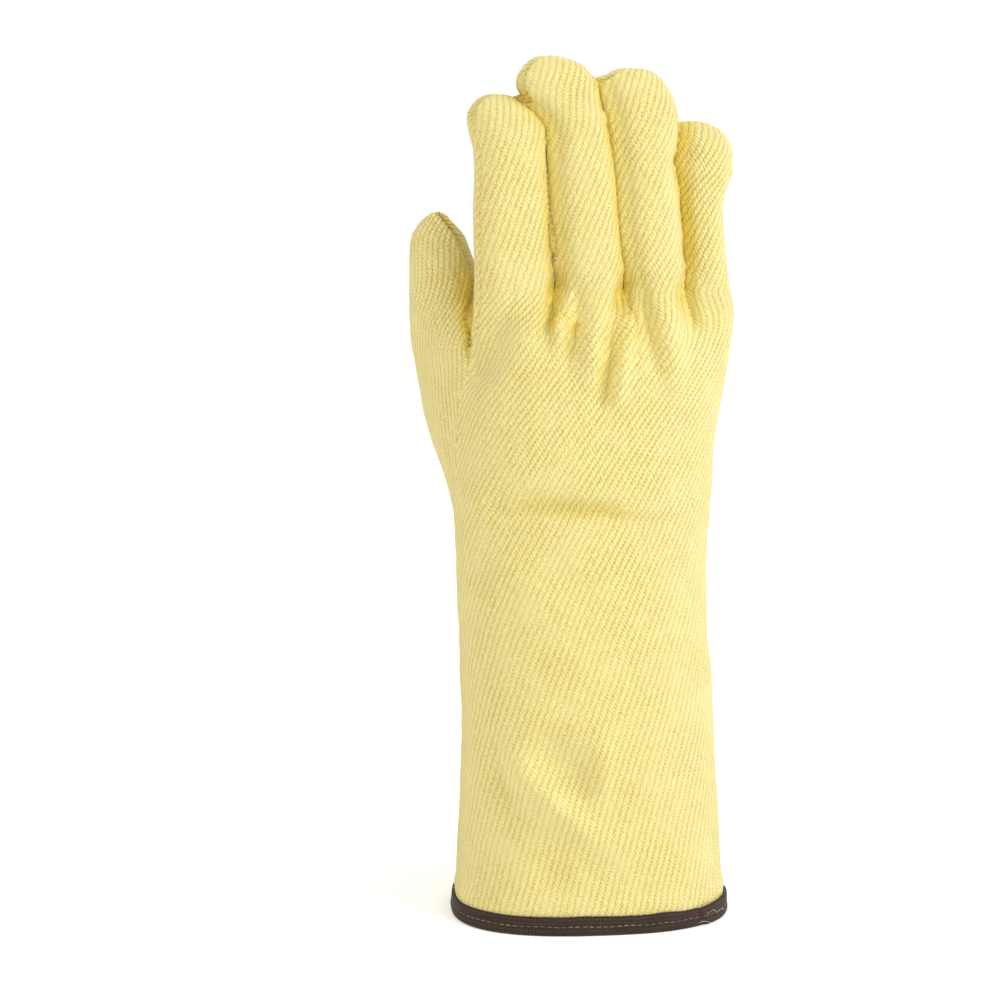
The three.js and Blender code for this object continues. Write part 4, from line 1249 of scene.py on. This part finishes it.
# One cut through the folded tape: out from the cloth's face, and up from the hem's edge.
TAPE_CUT = table("out up", [
    [0.2, 7.7], [0.35, 8.05], [0.7, 8.15], [1.0, 7.85], [1.15, 6.8], [1.1, 5.6], [0.95, 4.6],
    [0.72, 4.0], [0.95, 3.4], [1.12, 2.4], [1.08, 1.3], [0.85, 0.55], [0.4, 0.12], [-0.4, 0.0],
    [-1.4, 0.0], [-2.4, 0.0], [-3.3, 0.12], [-3.75, 0.55], [-4.0, 1.4], [-4.05, 2.8], [-3.9, 4.0],
    [-4.05, 5.4], [-4.0, 7.2], [-3.75, 8.0], [-3.4, 8.05], [-3.1, 7.6],
])
# Where the tape lies double, in columns round the hem.
LAP = dict(start=25.2, end=33.5, lean=-0.10, extra=0.75)
HEM_STEPS = 480
HEM_PLACES = np.arange(HEM_STEPS) / HEM_STEPS * THUMB_END


def lapped(u, up=0.0):
    """1 where the tape lies double and 0 elsewhere. The lap's first end leans."""
    return ease((u - LAP["start"] - LAP["lean"] * up) / 0.12) * ease((LAP["end"] - u) / 0.12)


def bind_hem(material):
    u = HEM_PLACES
    out, up = TAPE_CUT["out"], TAPE_CUT["up"]
    wave = [noise.noise(Vector((math.cos(a) * 3, math.sin(a) * 3, 0.5))) for a in u / THUMB_END * math.tau]
    wave = np.array(wave)[:, None]
    heights = up * (1 + 0.09 * wave * (up > 4))
    reach = out + lapped(u[:, None], heights) * LAP["extra"] * (out > 0.3) + 0.12 * wave * np.sign(out)
    points, _ = rim(u[:, None] + 0 * heights, heights, reach)
    n = len(out)
    i, j = np.meshgrid(np.arange(HEM_STEPS), np.arange(n), indexing="ij")
    i2, j2 = (i + 1) % HEM_STEPS, (j + 1) % n
    faces = np.stack([i * n + j, i * n + j2, i2 * n + j2, i2 * n + j], -1).reshape(-1, 4)
    length = np.concatenate([[0], np.cumsum(np.hypot(np.diff(out), np.diff(up)))])
    length = np.append(length, length[-1] + CLOTH_THICKNESS)
    round_hem = math.pi * (GLOVE_WIDTH + GLOVE_DEPTH) / 2
    s, s2, v, v2 = i / HEM_STEPS * round_hem, (i + 1) / HEM_STEPS * round_hem, length[j], length[j + 1]
    cloth = np.stack([np.stack(corner, -1) for corner in ((s, v), (s, v2), (s2, v2), (s2, v))], 2)
    piece = make_mesh("hem_tape", points.reshape(-1, 3), faces, cloth.reshape(-1, 2))
    piece.data.materials.append(material)
    return piece


def stitch_hem(group, thread):
    u = HEM_PLACES
    points, outward = rim(u, 4.0 + 0.15 * np.sin(u * 1.7), 0.86 + lapped(u) * LAP["extra"])
    k = np.arange(HEM_STEPS)
    line = edge_mesh("hem_line", points, np.stack([k, (k + 1) % HEM_STEPS], 1), outward)
    return made_by_nodes("hem_stitches", line, group, {
        "Spacing": 2.9 * MM, "Length": 2.3 * MM, "Thickness": 0.5 * MM, "Thread": thread})


# Cut thread ends at the lap. u: round the hem; up: height and length in mm; turn: radians from level.
THREAD_ENDS = table("u up length turn", [
    [24.4, 1.6, 8.0, -0.15], [25.0, 3.4, 5.5, 0.45], [25.9, 5.8, 4.0, -0.60], [26.6, 2.6, 5.0, 0.30],
])
THREAD_RADIUS = 0.08


def loose_ends(thread):
    """A few thin pale thread ends that lie out from the tape where it laps."""
    sides, count = 4, 9
    t = np.linspace(0, 1, count)
    upward = np.array([0, 0, 1.0])
    vertices, faces = [], []
    for k, (u, up, length, turn) in enumerate(zip(*THREAD_ENDS.values())):
        start, outward = rim(np.array([u]), np.array([up]), np.array([1.3]))
        along = np.cross(upward, outward[0])
        bow = 0.7 * np.sin(math.pi * t) + 0.3 * np.sin(7 * t + k)
        line = start + along * (length * t * math.cos(turn))[:, None]
        line = line + outward * (0.15 + 1.1 * t * t)[:, None]
        line = line + upward * (length * t * math.sin(turn) + bow)[:, None]
        line[:, 2] = np.maximum(line[:, 2], 0.2)
        for angle in np.arange(sides) * math.tau / sides:
            side = outward[0] * math.cos(angle) + upward * math.sin(angle)
            vertices.append(line + side * THREAD_RADIUS)
        ring = (k * sides + np.arange(sides)[:, None]) * count + np.arange(count)
        ahead = np.roll(ring, -1, axis=0)
        walls = np.stack([ahead[:, :-1], ring[:, :-1], ring[:, 1:], ahead[:, 1:]], -1)
        faces += [walls.reshape(-1, 4), ring[:, :1].T, ring[::-1, -1:].T]
    piece = make_mesh("loose_ends", np.concatenate(vertices), np.concatenate(faces))
    piece.data.materials.append(thread)
    return piece


def seam_lines(skin, normals):
    """The sewn seams, found from the sides that two panels share. The side seam and the thumb's tip
    close without a visible stitch."""
    half = sides_of(skin.loops)
    panel = np.tile(skin.panel, 3)
    low, high = half.min(1), half.max(1)
    code = low.astype(np.int64) * len(skin.points) + high
    order = np.argsort(code, kind="stable")
    pair = np.flatnonzero(code[order][1:] == code[order][:-1])
    first, second = order[pair], order[pair + 1]
    middle = skin.points[half[first]].mean(axis=1)
    shut = np.isin(half[first], skin.side_seam).all(axis=1)
    shut |= (middle[:, 0] < -0.45 * GLOVE_WIDTH) & (middle[:, 2] > 1.107 * ROOT_HEIGHT)
    meets = (panel[first] != panel[second]) & ~shut
    used, local = np.unique(half[first[meets]], return_inverse=True)
    points = skin.points[used] + normals[used] * 0.1
    return edge_mesh("seam_lines", points, local.reshape(-1, 2), normals[used])


def lay_floor():
    corners = np.array([[-1, -1, 0], [1, -1, 0], [1, 1, 0], [-1, 1, 0]])
    floor = make_mesh("floor", 3000 * corners, np.array([[0, 1, 2, 3]]))
    material, b, shader = new_material("pale_floor")
    b.fill(shader, {"Base Color": (0.99, 0.99, 0.99, 1), "Roughness": 0.9,
                    "Emission Color": (1, 1, 1, 1), "Emission Strength": 0.12})
    floor.data.materials.append(material)


def hang_light(name, place_at, size, watts, colour):
    """A square light that faces the glove. Places and size are in metres."""
    data = bpy.data.lights.new(name, "AREA")
    data.size = size
    data.energy = watts
    data.color = colour
    lamp = bpy.data.objects.new(name, data)
    lamp.location = place_at
    lamp.rotation_mode = "QUATERNION"
    lamp.rotation_quaternion = (Vector((0, 0, 0.2)) - Vector(place_at)).to_track_quat("-Z", "Y")
    bpy.context.scene.collection.objects.link(lamp)


def light_scene():
    world = bpy.data.worlds.new("studio")
    bpy.context.scene.world = world
    world.use_nodes = True
    b = Tree(world.node_tree)
    seen = b.add("ShaderNodeLightPath").outputs["Is Camera Ray"]
    background = world.node_tree.nodes["Background"]
    b.feed(background.inputs["Color"], b.blend(seen, (1.0, 0.94, 0.78, 1), (1, 1, 1, 1)))
    b.feed(background.inputs["Strength"], b.range(seen, 0.0, 1.0, 0.41, 1.0))
    hang_light("key", (1.25, -0.75, 1.0), 0.9, 21.5, (0.95, 0.98, 1.0))
    hang_light("fill", (-1.5, -0.6, 0.85), 0.8, 8.3, (1.0, 0.95, 0.80))
    overhead = bpy.data.lights.new("overhead", "SUN")
    overhead.energy = 1.75
    overhead.color = (0.94, 0.97, 1.0)
    overhead.angle = math.radians(60)
    bpy.context.scene.collection.objects.link(bpy.data.objects.new("overhead", overhead))
    bpy.context.scene.view_settings.view_transform = "Standard"


# The camera: degrees round the glove and down, metres from its axis, aside and up, and lens in mm.
VIEW = dict(turn=-5, pitch=9.34, away=1.0, aside=0.03696, height=0.3399, lens=87.78)


def set_camera():
    turn, pitch = math.radians(VIEW["turn"]), math.radians(VIEW["pitch"])
    ahead = Vector((-math.sin(turn), math.cos(turn), 0))
    right = Vector((math.cos(turn), math.sin(turn), 0))
    data = bpy.data.cameras.new("camera")
    data.lens = VIEW["lens"]
    data.sensor_width = 36
    camera = bpy.data.objects.new("camera", data)
    camera.location = -ahead * VIEW["away"] - right * VIEW["aside"] + Vector((0, 0, VIEW["height"]))
    look = ahead * math.cos(pitch) - Vector((0, 0, math.sin(pitch)))
    camera.rotation_mode = "QUATERNION"
    camera.rotation_quaternion = look.to_track_quat("-Z", "Y")
    bpy.context.scene.collection.objects.link(camera)
    bpy.context.scene.camera = camera


def keep(piece, nodes, slot="twill"):
    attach(piece, "root")
    if nodes:
        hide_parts(*nodes)


def build_glove():
    skin = build_skin()
    seam, shelter_shade = shape_cloth(skin)
    normals = skin_normals(skin.points, skin.loops)
    # The two masks of painted shade, kept on the cloth's points.
    values = {"shelter_shade": shelter_shade, "seam": seam}
    twill = twill_group()
    finger_backs = [name + "_back" for name in ("index", "middle", "ring", "little")]
    panels = [
        ("back_cloth", BACK, ["back_panel", *finger_backs], twill_material("back_twill", twill, 61)),
        ("palm_cloth", PALM, ["palm_panel"], twill_material("palm_twill", twill, 55)),
        ("finger_front_cloth", FRONTS, ["finger_fronts"], twill_material("finger_front_twill", twill, 128)),
        ("thumb_back_cloth", THUMB_BACK, ["thumb_back"], twill_material("thumb_twill", twill, 84)),
        ("cuff_cloth", CUFF, ["cuff_panel"], twill_material("cuff_twill", twill, 60)),
    ]
    for name, panel, nodes, material in panels:
        piece = panel_piece(name, skin, normals, panel, values)
        piece.data.materials.append(material)
        keep(piece, nodes)
    stitches = stitch_tree()
    yellow = thread_material("yellow_thread", (0.86, 0.70, 0.24), (0.92, 0.80, 0.40), 3)
    tan = thread_material("tan_thread", (0.08, 0.052, 0.030), (0.27, 0.19, 0.11), 4)
    keep(bind_hem(tape_material()), ["hem_binding"], "binding")
    keep(stitch_hem(stitches, tan), [], "binding")
    keep(loose_ends(thread_material("cut_thread", (0.45, 0.36, 0.24), (0.75, 0.68, 0.50), 4)), [], "binding")
    keep(made_by_nodes("seam_stitches", seam_lines(skin, normals), stitches, {
        "Spacing": 2.6 * MM, "Length": 2.0 * MM, "Thickness": 0.5 * MM, "Slant": 0.35, "Thread": yellow}), [])
    surface = make_mesh("fibre_ground", skin.points, skin.loops)
    lint = thread_material("lint", (0.86, 0.74, 0.36), (0.93, 0.87, 0.62), 3)
    keep(made_by_nodes("nap_fibres", surface.data.copy(), fibre_tree(), {
        "Density": 84000.0, "Length": 1.1 * MM, "Thickness": 0.035 * MM, "Seed": 11, "Fibre": lint}), [])
    bpy.data.objects.remove(surface)


build_glove()
lay_floor()
light_scene()
set_camera()
